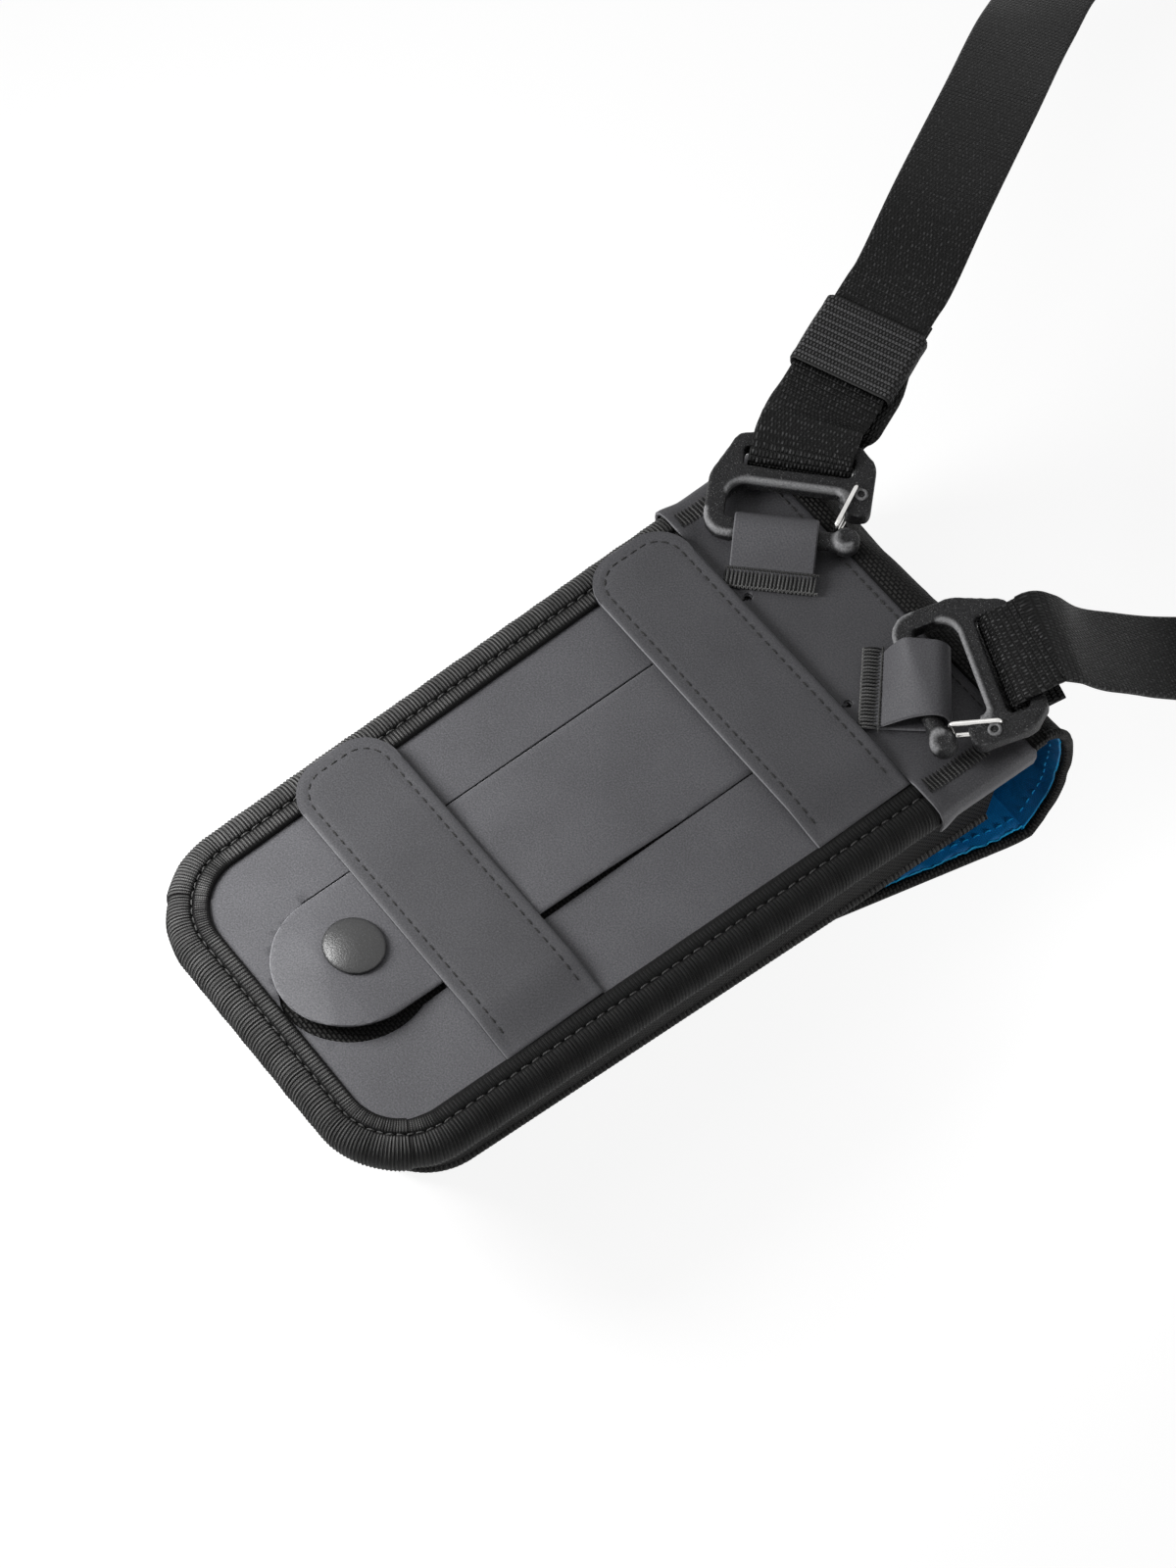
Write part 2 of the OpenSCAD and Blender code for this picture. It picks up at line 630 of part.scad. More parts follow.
module loop_bartack_left() color(fabric_c) loop_bartack(left_at, left_loop_turn, left_turn);
module loop_bartack_right() color(fabric_c) loop_bartack(right_at, right_loop_turn, right_turn);

// ---- strap -----------------------------------------------------------------------------

// The webbing's end goes around the hook's top bar and lies double for a short way. The strap
// pulls askew in its slot, so the end is cut to a strip that is turned against the bar.
wrap_r = hook_t / 2 + 1.1;
wrap_y = slot_top_y + 2;
askew_y = slot_y + slot_h * 0.7;
end_l = 8.7;                   // far enough that the swinging hook passes under the strap's run
left_askew = 12;
right_askew = -7;
module strap_end(askew) {
    r = wrap_r;
    outer = wrap_r + webbing_t;
    far = wrap_y + 3 * end_l;
    intersection() {
        translate([-webbing_w, 0, 0]) rotate([90, 0, 90]) linear_extrude(2 * webbing_w)
            polygon(concat(
                [[far, -outer]], arc([wrap_y, 0], outer, 270, 90, 12), [[far, outer], [far, r]],
                arc([wrap_y, 0], r, 90, 270, 12), [[far, -r]]));
        translate([0, askew_y, -2 * outer]) rotate([0, 0, -askew])
            translate([-webbing_w / 2, -2 * end_l, 0]) cube([webbing_w, 3 * end_l, 4 * outer]);
    }
}
module strap_left_end() color(fabric_c) at_hook(left_at, left_turn, left_pitch) strap_end(left_askew);
module strap_right_end() color(fabric_c) at_hook(right_at, right_turn, right_pitch) strap_end(right_askew);

// A ribbon along a smooth curve through points [x, y, z, roll]; roll 90 stands it on its edge
function smooth(p, n) = concat(
    [for (i = [0:len(p) - 2]) for (k = [0:n - 1])
        let (a = p[max(i - 1, 0)], b = p[i], c = p[i + 1], d = p[min(i + 2, len(p) - 1)], t = k / n)
        0.5 * (2 * b + (c - a) * t + (2 * a - 5 * b + 4 * c - d) * t * t
               + (3 * b - a - 3 * c + d) * t * t * t)],
    [p[len(p) - 1]]);
function xyz(p) = [p.x, p.y, p.z];
function ribbon_ring(p, along, w, t) =
    let (flat = unit([along.y, -along.x, 0]), up = unit(cross(flat, along)),
         side = flat * cos(p[3]) + up * sin(p[3]), face = up * cos(p[3]) - flat * sin(p[3]))
    [for (c = [[1, -1], [-1, -1], [-1, 1], [1, 1]]) xyz(p) + side * w / 2 * c.x + face * t / 2 * c.y];
module ribbon(path, w, t, n = 4, first_dir = undef, last_dir = undef) {
    p = smooth(path, n);
    last = len(p) - 1;
    skin([for (i = [0:last])
        let (along = i == 0 && first_dir != undef ? first_dir
                   : i == last && last_dir != undef ? last_dir
                   : xyz(p[min(i + 1, last)]) - xyz(p[max(i - 1, 0)]))
        ribbon_ring(p[i], unit(along), w, t)]);
}
function length_of(p) = sum([for (i = [1:len(p) - 1]) norm(xyz(p[i]) - xyz(p[i - 1]))]);
function sum(v, i = 0) = i < len(v) ? v[i] + sum(v, i + 1) : 0;

// A point and a direction given in a hook's own frame
function turned(v, turn, pitch) =
    let (y = v.y * cos(pitch) - v.z * sin(pitch), z = v.y * sin(pitch) + v.z * cos(pitch))
    [v.x * cos(turn) - y * sin(turn), v.x * sin(turn) + y * cos(turn), z];
mid_r = wrap_r + webbing_t / 2;
// The point on the strap's centre line at which its end stops, and the strap's direction there
function end_dir(turn, pitch, askew) = turned([sin(askew), cos(askew), 0], turn, pitch);
function end_at(at, turn, pitch, askew, height) =
    at + turned([0, askew_y, height], turn, pitch) + (end_l + gap) * end_dir(turn, pitch, askew);
left_dir = end_dir(left_turn, left_pitch, left_askew);
right_dir = end_dir(right_turn, right_pitch, right_askew);
left_top = end_at(left_at, left_turn, left_pitch, left_askew, mid_r);
left_low = end_at(left_at, left_turn, left_pitch, left_askew, -mid_r);
right_top = end_at(right_at, right_turn, right_pitch, right_askew, mid_r);

// Folded part: a zigzag that stands on its edge
bundle_at = [-35, 260];
bundle_turn = 137.4;
fold_steps = 6;
leg_points = 5;
function zigzag(i) =
    let (x = (i - (fold_runs - 1) / 2) * fold_pitch, up = i % 2 == 0, s = up ? 1 : -1,
         leg = [for (k = [0:leg_points - 1]) [s * fold_l * (k / (leg_points - 1) - 0.5), x]],
         turn_c = [s * fold_l / 2, x + fold_pitch / 2])
    concat(leg, i == fold_runs - 1 ? []
        : [for (k = [1:fold_steps - 1])
            turn_c + fold_pitch / 2 * [s * sin(180 * k / fold_steps), -cos(180 * k / fold_steps)]]);
zigzag_path = [for (i = [0:fold_runs - 1]) each zigzag(i)];
function edge_of(p, off) = [for (i = [0:len(p) - 1])
    let (d = unit(p[min(i + 1, len(p) - 1)] - p[max(i - 1, 0)])) p[i] + off * [-d.y, d.x]];
tie_t = 0.8;
tie_l = 9;
bundle_z = tie_t + gap;
module in_bundle() translate([bundle_at.x, bundle_at.y, bundle_z]) rotate([0, 0, bundle_turn]) children();
module strap_bundle() color(fabric_c) in_bundle() linear_extrude(webbing_w) {
    left = edge_of(zigzag_path, webbing_t / 2);
    right = edge_of(zigzag_path, -webbing_t / 2);
    polygon(concat(left, [for (i = [len(right) - 1:-1:0]) right[i]]));
}
bundle_half = (fold_runs - 1) / 2 * fold_pitch + webbing_t / 2;
module strap_bundle_tie() color([0.15, 0.15, 0.15]) in_bundle() difference() {
    inner = bundle_half + gap;
    translate([-tie_l / 2, -inner - tie_t, -gap - tie_t])
        cube([tie_l, 2 * (inner + tie_t), webbing_w + 2 * (gap + tie_t)]);
    translate([-tie_l, -inner, -gap]) cube([2 * tie_l, 2 * inner, webbing_w + 2 * gap]);
}
function bundle_point(v) = [bundle_at.x + v.x * cos(bundle_turn) - v.y * sin(bundle_turn),
                            bundle_at.y + v.x * sin(bundle_turn) + v.y * cos(bundle_turn)];
bundle_in = bundle_point(zigzag_path[0]);
bundle_out = bundle_point(zigzag_path[len(zigzag_path) - 1]);
bundle_dir = [cos(bundle_turn), sin(bundle_turn), 0];
stand_z = bundle_z + webbing_w / 2;

// The keeper's place: its origin is on the strap's centre line, where the two layers come together
keeper_turn = 22;
keeper_pitch = 5;
keeper_from_end = 6.8;
keeper_at = (left_top + left_low) / 2
    + turned([0, keeper_from_end, 0], (left_turn - left_askew + keeper_turn) / 2, keeper_pitch);
keeper_y = 9;
keeper_t = 1;
layer_h = webbing_t / 2 + gap;
tail_end = 34;
function in_keeper(y, height) =
    let (p = keeper_at + turned([0, y, height], keeper_turn, keeper_pitch)) [p.x, p.y, p.z, 0];
function layers(side) = [in_keeper(-3, side * 2.2), in_keeper(2, side * layer_h),
                         in_keeper(8, side * layer_h), in_keeper(tail_end, side * layer_h)];
module strap_keeper() color(fabric_c)
    translate(keeper_at) rotate([0, 0, keeper_turn]) rotate([keeper_pitch, 0, 0]) {
        w = webbing_w + 2 * gap;
        h = 2 * (layer_h + webbing_t / 2 + gap);
        translate([-w / 2, keeper_y, -h / 2]) difference() {
            translate([-keeper_t, 0, -keeper_t]) cube([w + 2 * keeper_t, keeper_l, h + 2 * keeper_t]);
            translate([0, -cut, 0]) cube([w, keeper_l + 2 * cut, h]);
        }
    }

// Turned-back end of the webbing, under the run and through the keeper
module strap_left_tail() color(fabric_c)
    ribbon(concat([[left_low.x, left_low.y, left_low.z, 0]], layers(-1)), webbing_w, webbing_t, 4, left_dir);

// Left run: straight through the keeper, over the top of an arch, down and onto its edge
left_run_path = concat(
    [[left_top.x, left_top.y, left_top.z, 0]], layers(1), [in_keeper(tail_end + 10, layer_h)],
    [[-77, 170.5, 65, 0], [-97, 205, 57, 0], [-116, 236, 45, 0], [-129, 262, 32, 20],
     [-129, 289, 19, 62], [-117, 309, stand_z, 88], [-98, 311, stand_z, 90],
     [bundle_out.x, bundle_out.y, stand_z, 90]]);
module strap_left_run() color(fabric_c)
    ribbon(left_run_path, webbing_w, webbing_t, 4, left_dir, -bundle_dir);

// Right run: down from the hook, onto its edge and around to the folded part
right_run_path = [
    for (d = [0, 2]) let (p = right_top + right_dir * d) [p.x, p.y, p.z, 0],
    [40.4, 109, 66.4, 0], [43.1, 116, 58, 0], [46.1, 126.9, 47.5, 0], [50.5, 141, 36, 0],
    [55, 152.5, 28, -10], [61, 166, 20, -42], [64, 185, stand_z, -80], [61, 204, stand_z, -90],
    [49, 221, stand_z, -90], [28, 233, stand_z, -90], [bundle_in.x, bundle_in.y, stand_z, -90]
];
module strap_right_run() color(fabric_c)
    ribbon(right_run_path, webbing_w, webbing_t, 4, right_dir, bundle_dir);

// ---- printed checks --------------------------------------------------------------------

fold_gap = min([for (i = [0:len(zigzag_path) - 1]) for (j = [i + fold_steps + 1:1:len(zigzag_path) - 1])
    norm(zigzag_path[i] - zigzag_path[j])]) - webbing_t;
strap_length = length_of(smooth(left_run_path, 4)) + length_of(smooth(right_run_path, 4))
    + length_of([for (p = zigzag_path) [p.x, p.y, 0]]) + length_of(layers(-1))
    + 2 * (2 * (askew_y + end_l - wrap_y) + PI * mid_r);
echo("least gap in the folded strap", fold_gap, "strap length", strap_length);
echo("left hook", left_at, "axis", turned([1, 0, 0], left_turn, left_pitch), "gate",
     left_at + turned([pivot_at.x, pivot_at.y, 0], left_turn, left_pitch),
     turned([0, 0, -1], left_turn, left_pitch), "keeper", turned([0, 1, 0], keeper_turn, keeper_pitch));
echo("right hook", right_at, "axis", turned([1, 0, 0], right_turn, right_pitch), "gate",
     right_at + turned([pivot_at.x, pivot_at.y, 0], right_turn, right_pitch),
     turned([0, 0, -1], right_turn, right_pitch));
echo("bands", [band_hinge_x(-band_lower_y), band_hinge_x(band_upper_y), band_hinge_z],
     "tongue", [tongue_hinge_y, tongue_hinge_z], "flap", [flap_hinge_y, flap_hinge_z, fold_y, fold_z],
     "bundle in, out", bundle_in, bundle_out);

back_panel();
yoke();
yoke_bartacks();
back_underlay();
back_foam();
back_lining();
edge_binding();
top_seam_tape();
tongue_strap();
tongue_tip();
snap_cap();
snap_socket();
snap_stud();
snap_rivet();
band_lower();
band_upper();
band_hook_tape_lower();
band_hook_tape_upper();
band_loop_tape_lower();
band_loop_tape_upper();
gusset_left();
gusset_right();
gusset_bottom();
pocket_front();
pocket_lining();
mouth_binding();
pocket_loop_tape();
flap_top_outer();
flap_top_lining();
flap_front_outer();
flap_front_lining();
flap_hook_tape();
loop_left();
loop_right();
loop_bartack_left();
loop_bartack_right();
hook_left();
hook_right();
gate_left();
gate_right();
strap_left_end();
strap_left_run();
strap_left_tail();
strap_keeper();
strap_right_end();
strap_right_run();
strap_bundle();
strap_bundle_tie();
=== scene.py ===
"""Flat shoulder pouch in coated tarpaulin, lying on its front flap with the back panel up."""
import math
import random
from collections import namedtuple

import bmesh
import bpy
from mathutils import Matrix, Vector, noise


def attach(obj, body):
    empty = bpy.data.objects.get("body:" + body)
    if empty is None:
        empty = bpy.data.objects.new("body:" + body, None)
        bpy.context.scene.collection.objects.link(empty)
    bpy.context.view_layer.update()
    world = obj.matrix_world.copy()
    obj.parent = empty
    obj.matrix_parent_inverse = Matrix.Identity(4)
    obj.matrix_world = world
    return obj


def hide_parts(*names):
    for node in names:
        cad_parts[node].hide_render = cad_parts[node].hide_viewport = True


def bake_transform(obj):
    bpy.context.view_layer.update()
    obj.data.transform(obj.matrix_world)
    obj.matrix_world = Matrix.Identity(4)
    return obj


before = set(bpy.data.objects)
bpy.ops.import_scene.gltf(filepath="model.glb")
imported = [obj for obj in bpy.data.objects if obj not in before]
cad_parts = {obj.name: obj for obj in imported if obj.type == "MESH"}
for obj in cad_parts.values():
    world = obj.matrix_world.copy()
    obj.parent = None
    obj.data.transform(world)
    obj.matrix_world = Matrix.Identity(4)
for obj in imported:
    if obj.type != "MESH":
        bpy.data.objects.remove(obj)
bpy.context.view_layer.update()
MM = 0.001
random.seed(7)

# ---- sizes in millimetres, as in the part's source -------------------------------------
TOP_W, BOTTOM_W, TOP_Y, BOTTOM_Y, CORNER_R, BACK_H = 108, 99, 93.5, 102.5, 24, 52
FRONT_TOP_W, FRONT_BOTTOM_W, FRONT_BOTTOM_Y, FRONT_TOP_Y, FRONT_R, FRONT_Z = 87, 72.4, 86, 88, 18, 4.1
TARP_T, WOVEN_T, UNDERLAY_T, FOAM_T, BACK_LINING_T, THIN_T = 0.9, 1.2, 1.0, 3.1, 0.6, 0.7
FOAM_Z = BACK_H - TARP_T - UNDERLAY_T
LINING_Z = FOAM_Z - FOAM_T
PANEL_MID = BACK_H - TARP_T / 2
PANEL_TOP_Y = TOP_Y - 4
SEAM_IN = 1.6
YOKE_LOW_Y, YOKE_BEND, YOKE_HANG, YOKE_SEAM_Y = 60, 2.4, 4.6, 86.9
TONGUE_X, TONGUE_HALF, SLIT_TOP_Y, STOP_R = -2.3, 18.75, 62, 1.1
TONGUE_END_Y, TONGUE_TILT = 72, 8
WINDOW_AT, WINDOW_R = (-1.4, -72.4), 19.6
BINDING_W, RIB = 10.5, 0.967
BAND_W, BAND_T, BAND_R, BAND_SEAM_IN, BAND_MID = 27.8, 1.3, 10, 3, 54.62
HINGE_Y, HINGE_Z = -59.6, 53.05
SNAP_X, SNAP_Y, CAP_R = -3.5, -70, 7.5
FLAP_LOW_HALF, FLAP_LOW_Y, FLAP_R, FLAP_TOP = 26, -20, 14, 94.6
WEBBING_W, WEBBING_T = 25.4, 1.5
SLOT_Y, SLOT_H, HOOK_T, BAR_D, WIRE_D = 17.5, 5.5, 4.6, 4.8, 1.3
LOOP_W, LOOP_REACH, TACK_W, LOOP_OFFSET = 20, 9.2, 4.4, -3
Hook = namedtuple("Hook", "side at turn pitch loop_turn askew")
LEFT = Hook("left", (-26.5, 78.8, 57.4), 43, 2.5, 45, 12)
RIGHT = Hook("right", (28, 75.6, 58.4), -22.4, 13.5, -43, -7)
X_AXIS, Y_AXIS, Z_AXIS = Vector((1, 0, 0)), Vector((0, 1, 0)), Vector((0, 0, 1))


# ---- plane geometry --------------------------------------------------------------------
def step(x, lo=0.0, hi=1.0):
    t = min(max((x - lo) / (hi - lo), 0.0), 1.0)
    return t * t * (3 - 2 * t)


def lerp(a, b, t):
    return a + (b - a) * t


def bell(x, width):
    return math.exp(-(x / width) ** 2)


def wobble(x, y, z=0.0, scale=1.0):
    return noise.noise(Vector((x * scale, y * scale, z)))


def ribbed(at, pitch, power=0.7):
    """Height from 0 to 1 of round ribs, at a place along them."""
    return abs(math.sin(math.pi * at / pitch)) ** power


def half_w(y):
    return (BOTTOM_W + (TOP_W - BOTTOM_W) * (y + BOTTOM_Y) / (TOP_Y + BOTTOM_Y)) / 2


def vec(x, y, z=0.0):
    return Vector((x, y, z))


def raised(points, z=0.0):
    """A flat path at height z."""
    return [Vector((p[0], p[1], z)) for p in points]


def around(n):
    """The angles of n points around a circle."""
    return [2 * math.pi * k / n for k in range(n)]


def arc(cx, cy, r, a0, a1, n):
    angles = [math.radians(lerp(a0, a1, i / n)) for i in range(n + 1)]
    return [Vector((cx + r * math.cos(a), cy + r * math.sin(a))) for a in angles]


def corner(before, at, after, r, n):
    d1, d2 = (before - at).normalized(), (after - at).normalized()
    half = math.acos(max(-1, min(1, d1.dot(d2)))) / 2
    c = at + (d1 + d2).normalized() * r / math.sin(half)
    s, e = at + d1 * r / math.tan(half) - c, at + d2 * r / math.tan(half) - c
    a0 = math.atan2(s.y, s.x)
    turn = (math.atan2(e.y, e.x) - a0 + math.pi) % (2 * math.pi) - math.pi
    return [c + r * Vector((math.cos(a0 + turn * i / n), math.sin(a0 + turn * i / n))) for i in range(n + 1)]


def rounded(points, radii, n=8):
    pts = [Vector(p) for p in points]
    out = []
    for i, r in enumerate(radii):
        out += corner(pts[i - 1], pts[i], pts[(i + 1) % len(pts)], r, n) if r > 0 else [pts[i]]
    return out


def box_outline(x0, y0, x1, y1, radii, n):
    return rounded([(x0, y0), (x1, y0), (x1, y1), (x0, y1)], radii, n)


def u_outline(bottom_w, top_w, bottom_y, top_y, r, inset, n):
    lean = math.atan((top_w - bottom_w) / 2 / (top_y + bottom_y))
    side = inset / math.cos(lean)
    low = -bottom_y + inset
    wide_low = bottom_w / 2 + inset * math.tan(lean) - side
    wide_top = top_w / 2 - side
    return rounded([(wide_top, top_y), (-wide_top, top_y), (-wide_low, low), (wide_low, low)],
                   [0, 0, r - inset, r - inset], n)


def back_outline(inset, top_y=TOP_Y, n=12):
    return u_outline(BOTTOM_W, 2 * half_w(top_y), BOTTOM_Y, top_y, CORNER_R, inset, n)


def front_outline(inset, top_y=FRONT_TOP_Y, n=12):
    share = (top_y + FRONT_BOTTOM_Y) / (FRONT_TOP_Y + FRONT_BOTTOM_Y)
    wide = lerp(FRONT_BOTTOM_W, FRONT_TOP_W, share)
    return u_outline(FRONT_BOTTOM_W, wide, FRONT_BOTTOM_Y, top_y, FRONT_R, inset, n)


def open_path(outline):
    """The outline from its left top corner around the bottom to its right top corner."""
    return outline[1:] + outline[:1]


def lengths(points):
    total = [0.0]
    for a, b in zip(points, points[1:]):
        total.append(total[-1] + (b - a).length)
    return total


def heading(points, i):
    """Direction of a path at its point i."""
    return (points[min(i + 1, len(points) - 1)] - points[max(i - 1, 0)]).normalized()


def even_places(total, count):
    """The span, and the share of it, of count even steps along the lengths of a path."""
    k = 0
    for i in range(count + 1):
        want = total[-1] * i / count
        while k < len(total) - 2 and total[k + 1] < want:
            k += 1
        span = total[k + 1] - total[k]
        yield k, (want - total[k]) / span if span else 0


def resample(points, pitch=None, count=None):
    total = lengths(points)
    count = count or max(2, round(total[-1] / pitch))
    return [points[k].lerp(points[k + 1], t) for k, t in even_places(total, count)]


def smooth(points, n):
    """Catmull-Rom curve through points, which are tuples of any one length."""
    out = []
    for i in range(len(points) - 1):
        a, b, c, d = points[max(i - 1, 0)], points[i], points[i + 1], points[min(i + 2, len(points) - 1)]
        for k in range(n):
            t = k / n
            out.append(tuple(0.5 * (2 * q + (r - p) * t + (2 * p - 5 * q + 4 * r - s) * t * t
                                    + (3 * q - p - 3 * r + s) * t ** 3)
                             for p, q, r, s in zip(a, b, c, d)))
    return out + [tuple(points[-1])]


# ---- materials -------------------------------------------------------------------------
def node(tree, kind, ins=None, **props):
    made = tree.nodes.new("ShaderNode" + kind)
    for key, value in props.items():
        setattr(made, key, value)
    for key, value in (ins or {}).items():
        if isinstance(value, bpy.types.NodeSocket):
            tree.links.new(value, made.inputs[key])
        else:
            made.inputs[key].default_value = value
    return made


def math_node(tree, operation, a, b=0.0, c=0.0, clamp=False):
    return node(tree, "Math", {0: a, 1: b, 2: c}, operation=operation, use_clamp=clamp).outputs[0]


def rgb(r, g=None, b=None):
    return (r, r if g is None else g, r if b is None else b, 1)


class Finish:
    """A Principled material whose textures lie in the flat size of the fabric, in millimetres."""

    def __init__(self, name, flat=True, **fixed):
        self.material = bpy.data.materials.new(name)
        self.material.use_nodes = True
        self.tree = self.material.node_tree
        self.shader = self.tree.nodes["Principled BSDF"]
        for key, value in fixed.items():
            self.shader.inputs[key.replace("_", " ")].default_value = value
        if flat:
            self.at = self.add("UVMap", uv_map="flat").outputs[0]
        else:
            place = self.add("TexCoord").outputs["Object"]
            self.at = self.add("VectorMath", {0: place, "Scale": 1 / MM}, operation="SCALE").outputs[0]
        self.normal = None

    def add(self, kind, ins=None, **props):
        return node(self.tree, kind, ins, **props)

    def times(self, value, share, clamp=False):
        return math_node(self.tree, "MULTIPLY", value, share, clamp=clamp)

    def mix(self, share, a, b):
        return self.add("Mix", {0: share, 6: a, 7: b}, data_type="RGBA").outputs[2]

    def attribute(self, name):
        return self.add("Attribute", attribute_name=name).outputs["Fac"]

    def noise(self, scale, detail, rough):
        ins = {"Vector": self.at, "Scale": scale, "Detail": detail, "Roughness": rough}
        return self.add("TexNoise", ins).outputs[0]

    def cells(self, scale):
        return self.add("TexVoronoi", {"Vector": self.at, "Scale": scale}).outputs["Distance"]

    def ramp(self, value, lo, hi, to_lo=0.0, to_hi=1.0):
        return self.add("MapRange", {0: value, 1: lo, 2: hi, 3: to_lo, 4: to_hi}).outputs[0]

    def turned(self, turn):
        ins = {"Vector": self.at, "Scale": (1, 1, 1), "Rotation": (0, 0, math.radians(turn))}
        return self.add("Mapping", ins).outputs[0]

    def bricks(self, wide, high, gap_share):
        """Staggered threads: 1 on a thread and 0 in the gap between two."""
        ins = {"Vector": self.turned(0), "Scale": 1.0, "Mortar Size": gap_share * min(wide, high),
               "Mortar Smooth": 1.0, "Brick Width": wide, "Row Height": high, "Bias": 0.0}
        out = self.add("TexBrick", ins, offset=0.5, offset_frequency=2, squash=1.0).outputs["Fac"]
        return math_node(self.tree, "SUBTRACT", 1.0, out)

    def waves(self, pitch, turn=0.0, distort=0.0):
        """Ridges across X of the flat fabric, at the given pitch."""
        ins = {"Vector": self.turned(turn), "Scale": math.pi / (10 * pitch), "Distortion": distort,
               "Detail": 1.0, "Detail Scale": 1.5}
        return self.add("TexWave", ins, wave_type="BANDS", bands_direction="X",
                        wave_profile="SIN").outputs["Fac"]

    def bump(self, height, depth_mm, strength):
        ins = {"Height": height, "Distance": depth_mm * MM, "Strength": strength}
        if self.normal:
            ins["Normal"] = self.normal
        self.normal = self.add("Bump", ins).outputs[0]

    def done(self, colour, roughness):
        for value, key in ((colour, "Base Color"), (roughness, "Roughness"), (self.normal, "Normal")):
            self.tree.links.new(value, self.shader.inputs[key])
        return self.material


def tarpaulin():
    f = Finish("tarpaulin", Specular_IOR_Level=0.3)
    grain = f.noise(2.4, 3, 0.6)
    cloth = f.waves(0.82, 32, 0.6)
    patches = f.noise(0.045, 3, 0.55)
    rub = f.ramp(f.noise(0.35, 4, 0.65), 0.56, 0.74)
    rim = f.attribute("rim")
    f.bump(cloth, 0.03, 0.5)
    f.bump(grain, 0.07, 0.8)
    base = f.mix(f.ramp(patches, 0.3, 0.7), rgb(0.112, 0.111, 0.119), rgb(0.140, 0.139, 0.149))
    base = f.mix(f.times(rub, 0.14), base, rgb(0.20, 0.20, 0.21))
    base = f.mix(f.times(f.ramp(grain, 0.38, 0.52, 1, 0), 0.55), base, rgb(0.06, 0.06, 0.066))
    base = f.mix(f.times(f.ramp(grain, 0.54, 0.66), 0.4), base, rgb(0.22, 0.22, 0.235))
    # The rim attribute paints the upper arris of each cut edge light, a painted highlight, and the cut side
    # below it nearly black, a painted shadow.
    base = f.mix(f.times(rim, 0.8, clamp=True), base, rgb(0.42, 0.42, 0.44))
    base = f.mix(f.times(rim, -0.85, clamp=True), base, rgb(0.01))
    # The shade value paints a whole piece darker, a painted shade for pieces that catch less light than the
    # panel.
    base = f.mix(f.attribute("shade"), base, rgb(0.0))
    wear_and_sheen = math_node(f.tree, "ADD", patches, f.times(rub, 0.25))
    return f.done(base, f.ramp(wear_and_sheen, 0.3, 0.9, 0.60, 0.45))


def binding():
    f = Finish("binding", Specular_IOR_Level=0.14)
    # The rim attribute holds the rib heights: rib tops are painted light, a painted highlight, and valleys
    # near black, painted shade.
    ridge = f.ramp(f.attribute("rim"), 0.5, 1.0)
    threads = f.bricks(0.5, 0.42, 0.4)
    fuzz = f.noise(1.6, 3, 0.6)
    # The noise varies how strongly the rib tops are painted light.
    wear_and_sheen = f.ramp(f.noise(0.10, 3, 0.6), 0.4, 0.75, 0.55, 1.0)
    f.bump(threads, 0.08, 0.9)
    f.bump(fuzz, 0.05, 0.6)
    light = f.mix(f.ramp(threads, 0.1, 0.8), rgb(0.09), rgb(0.27, 0.267, 0.262))
    return f.done(f.mix(f.times(ridge, wear_and_sheen), rgb(0.003), light), f.ramp(fuzz, 0.3, 0.7, 0.5, 0.7))


def woven():
    f = Finish("woven", Specular_IOR_Level=0.12)
    ribs = f.bricks(1.6, 0.95, 0.42)
    fuzz = f.noise(1.3, 4, 0.65)
    f.bump(ribs, 0.2, 1.0)
    f.bump(fuzz, 0.06, 0.6)
    base = f.mix(f.ramp(ribs, 0.25, 0.9), rgb(0.002), rgb(0.045, 0.044, 0.043))
    base = f.mix(f.times(f.ramp(fuzz, 0.55, 0.75), 0.3), base, rgb(0.055))
    return f.done(base, f.ramp(fuzz, 0.3, 0.7, 0.6, 0.8))


def lining_blue():
    f = Finish("lining_blue", Specular_IOR_Level=0.4)
    cloth = f.bricks(0.6, 0.6, 0.35)
    creases = f.noise(0.14, 3, 0.6)
    rim = f.attribute("rim")
    f.bump(cloth, 0.05, 0.6)
    f.bump(creases, 0.6, 0.6)
    base = f.mix(f.ramp(creases, 0.3, 0.7), rgb(0.0, 0.17, 0.48), rgb(0.0, 0.27, 0.70))
    base = f.mix(f.ramp(cloth, 0.0, 0.6, 0.35, 1), rgb(0.0, 0.09, 0.28), base)
    base = f.mix(f.times(rim, 0.9, clamp=True), base, rgb(0.01, 0.50, 0.95))
    return f.done(base, f.ramp(creases, 0.3, 0.7, 0.42, 0.58))


def thread():
    f = Finish("thread", Specular_IOR_Level=0.25)
    twist = f.waves(0.5, 40)
    # The rim attribute sets how light each thread is painted; in the bartacks this is painted highlight and
    # shade.
    tone = f.attribute("rim")
    f.bump(twist, 0.05, 0.8)
    top = f.mix(tone, rgb(0.003), rgb(0.27, 0.268, 0.264))
    return f.done(f.mix(f.times(twist, 0.5), top, rgb(0.004)), f.ramp(twist, 0, 1, 0.45, 0.62))


def tape():
    f = Finish("tape", Specular_IOR_Level=0.15)
    loops = f.noise(3.2, 4, 0.7)
    rows = f.bricks(1.1, 0.9, 0.4)
    f.bump(loops, 0.35, 1.0)
    f.bump(rows, 0.2, 0.7)
    return f.done(f.mix(loops, rgb(0.003), rgb(0.035)), f.ramp(loops, 0.3, 0.7, 0.7, 0.9))


def foam():
    f = Finish("foam", Specular_IOR_Level=0.2)
    cells = f.cells(1.6)
    f.bump(cells, 0.3, 0.8)
    return f.done(f.mix(cells, rgb(0.10), rgb(0.16)), f.ramp(cells, 0, 1, 0.8, 0.95))


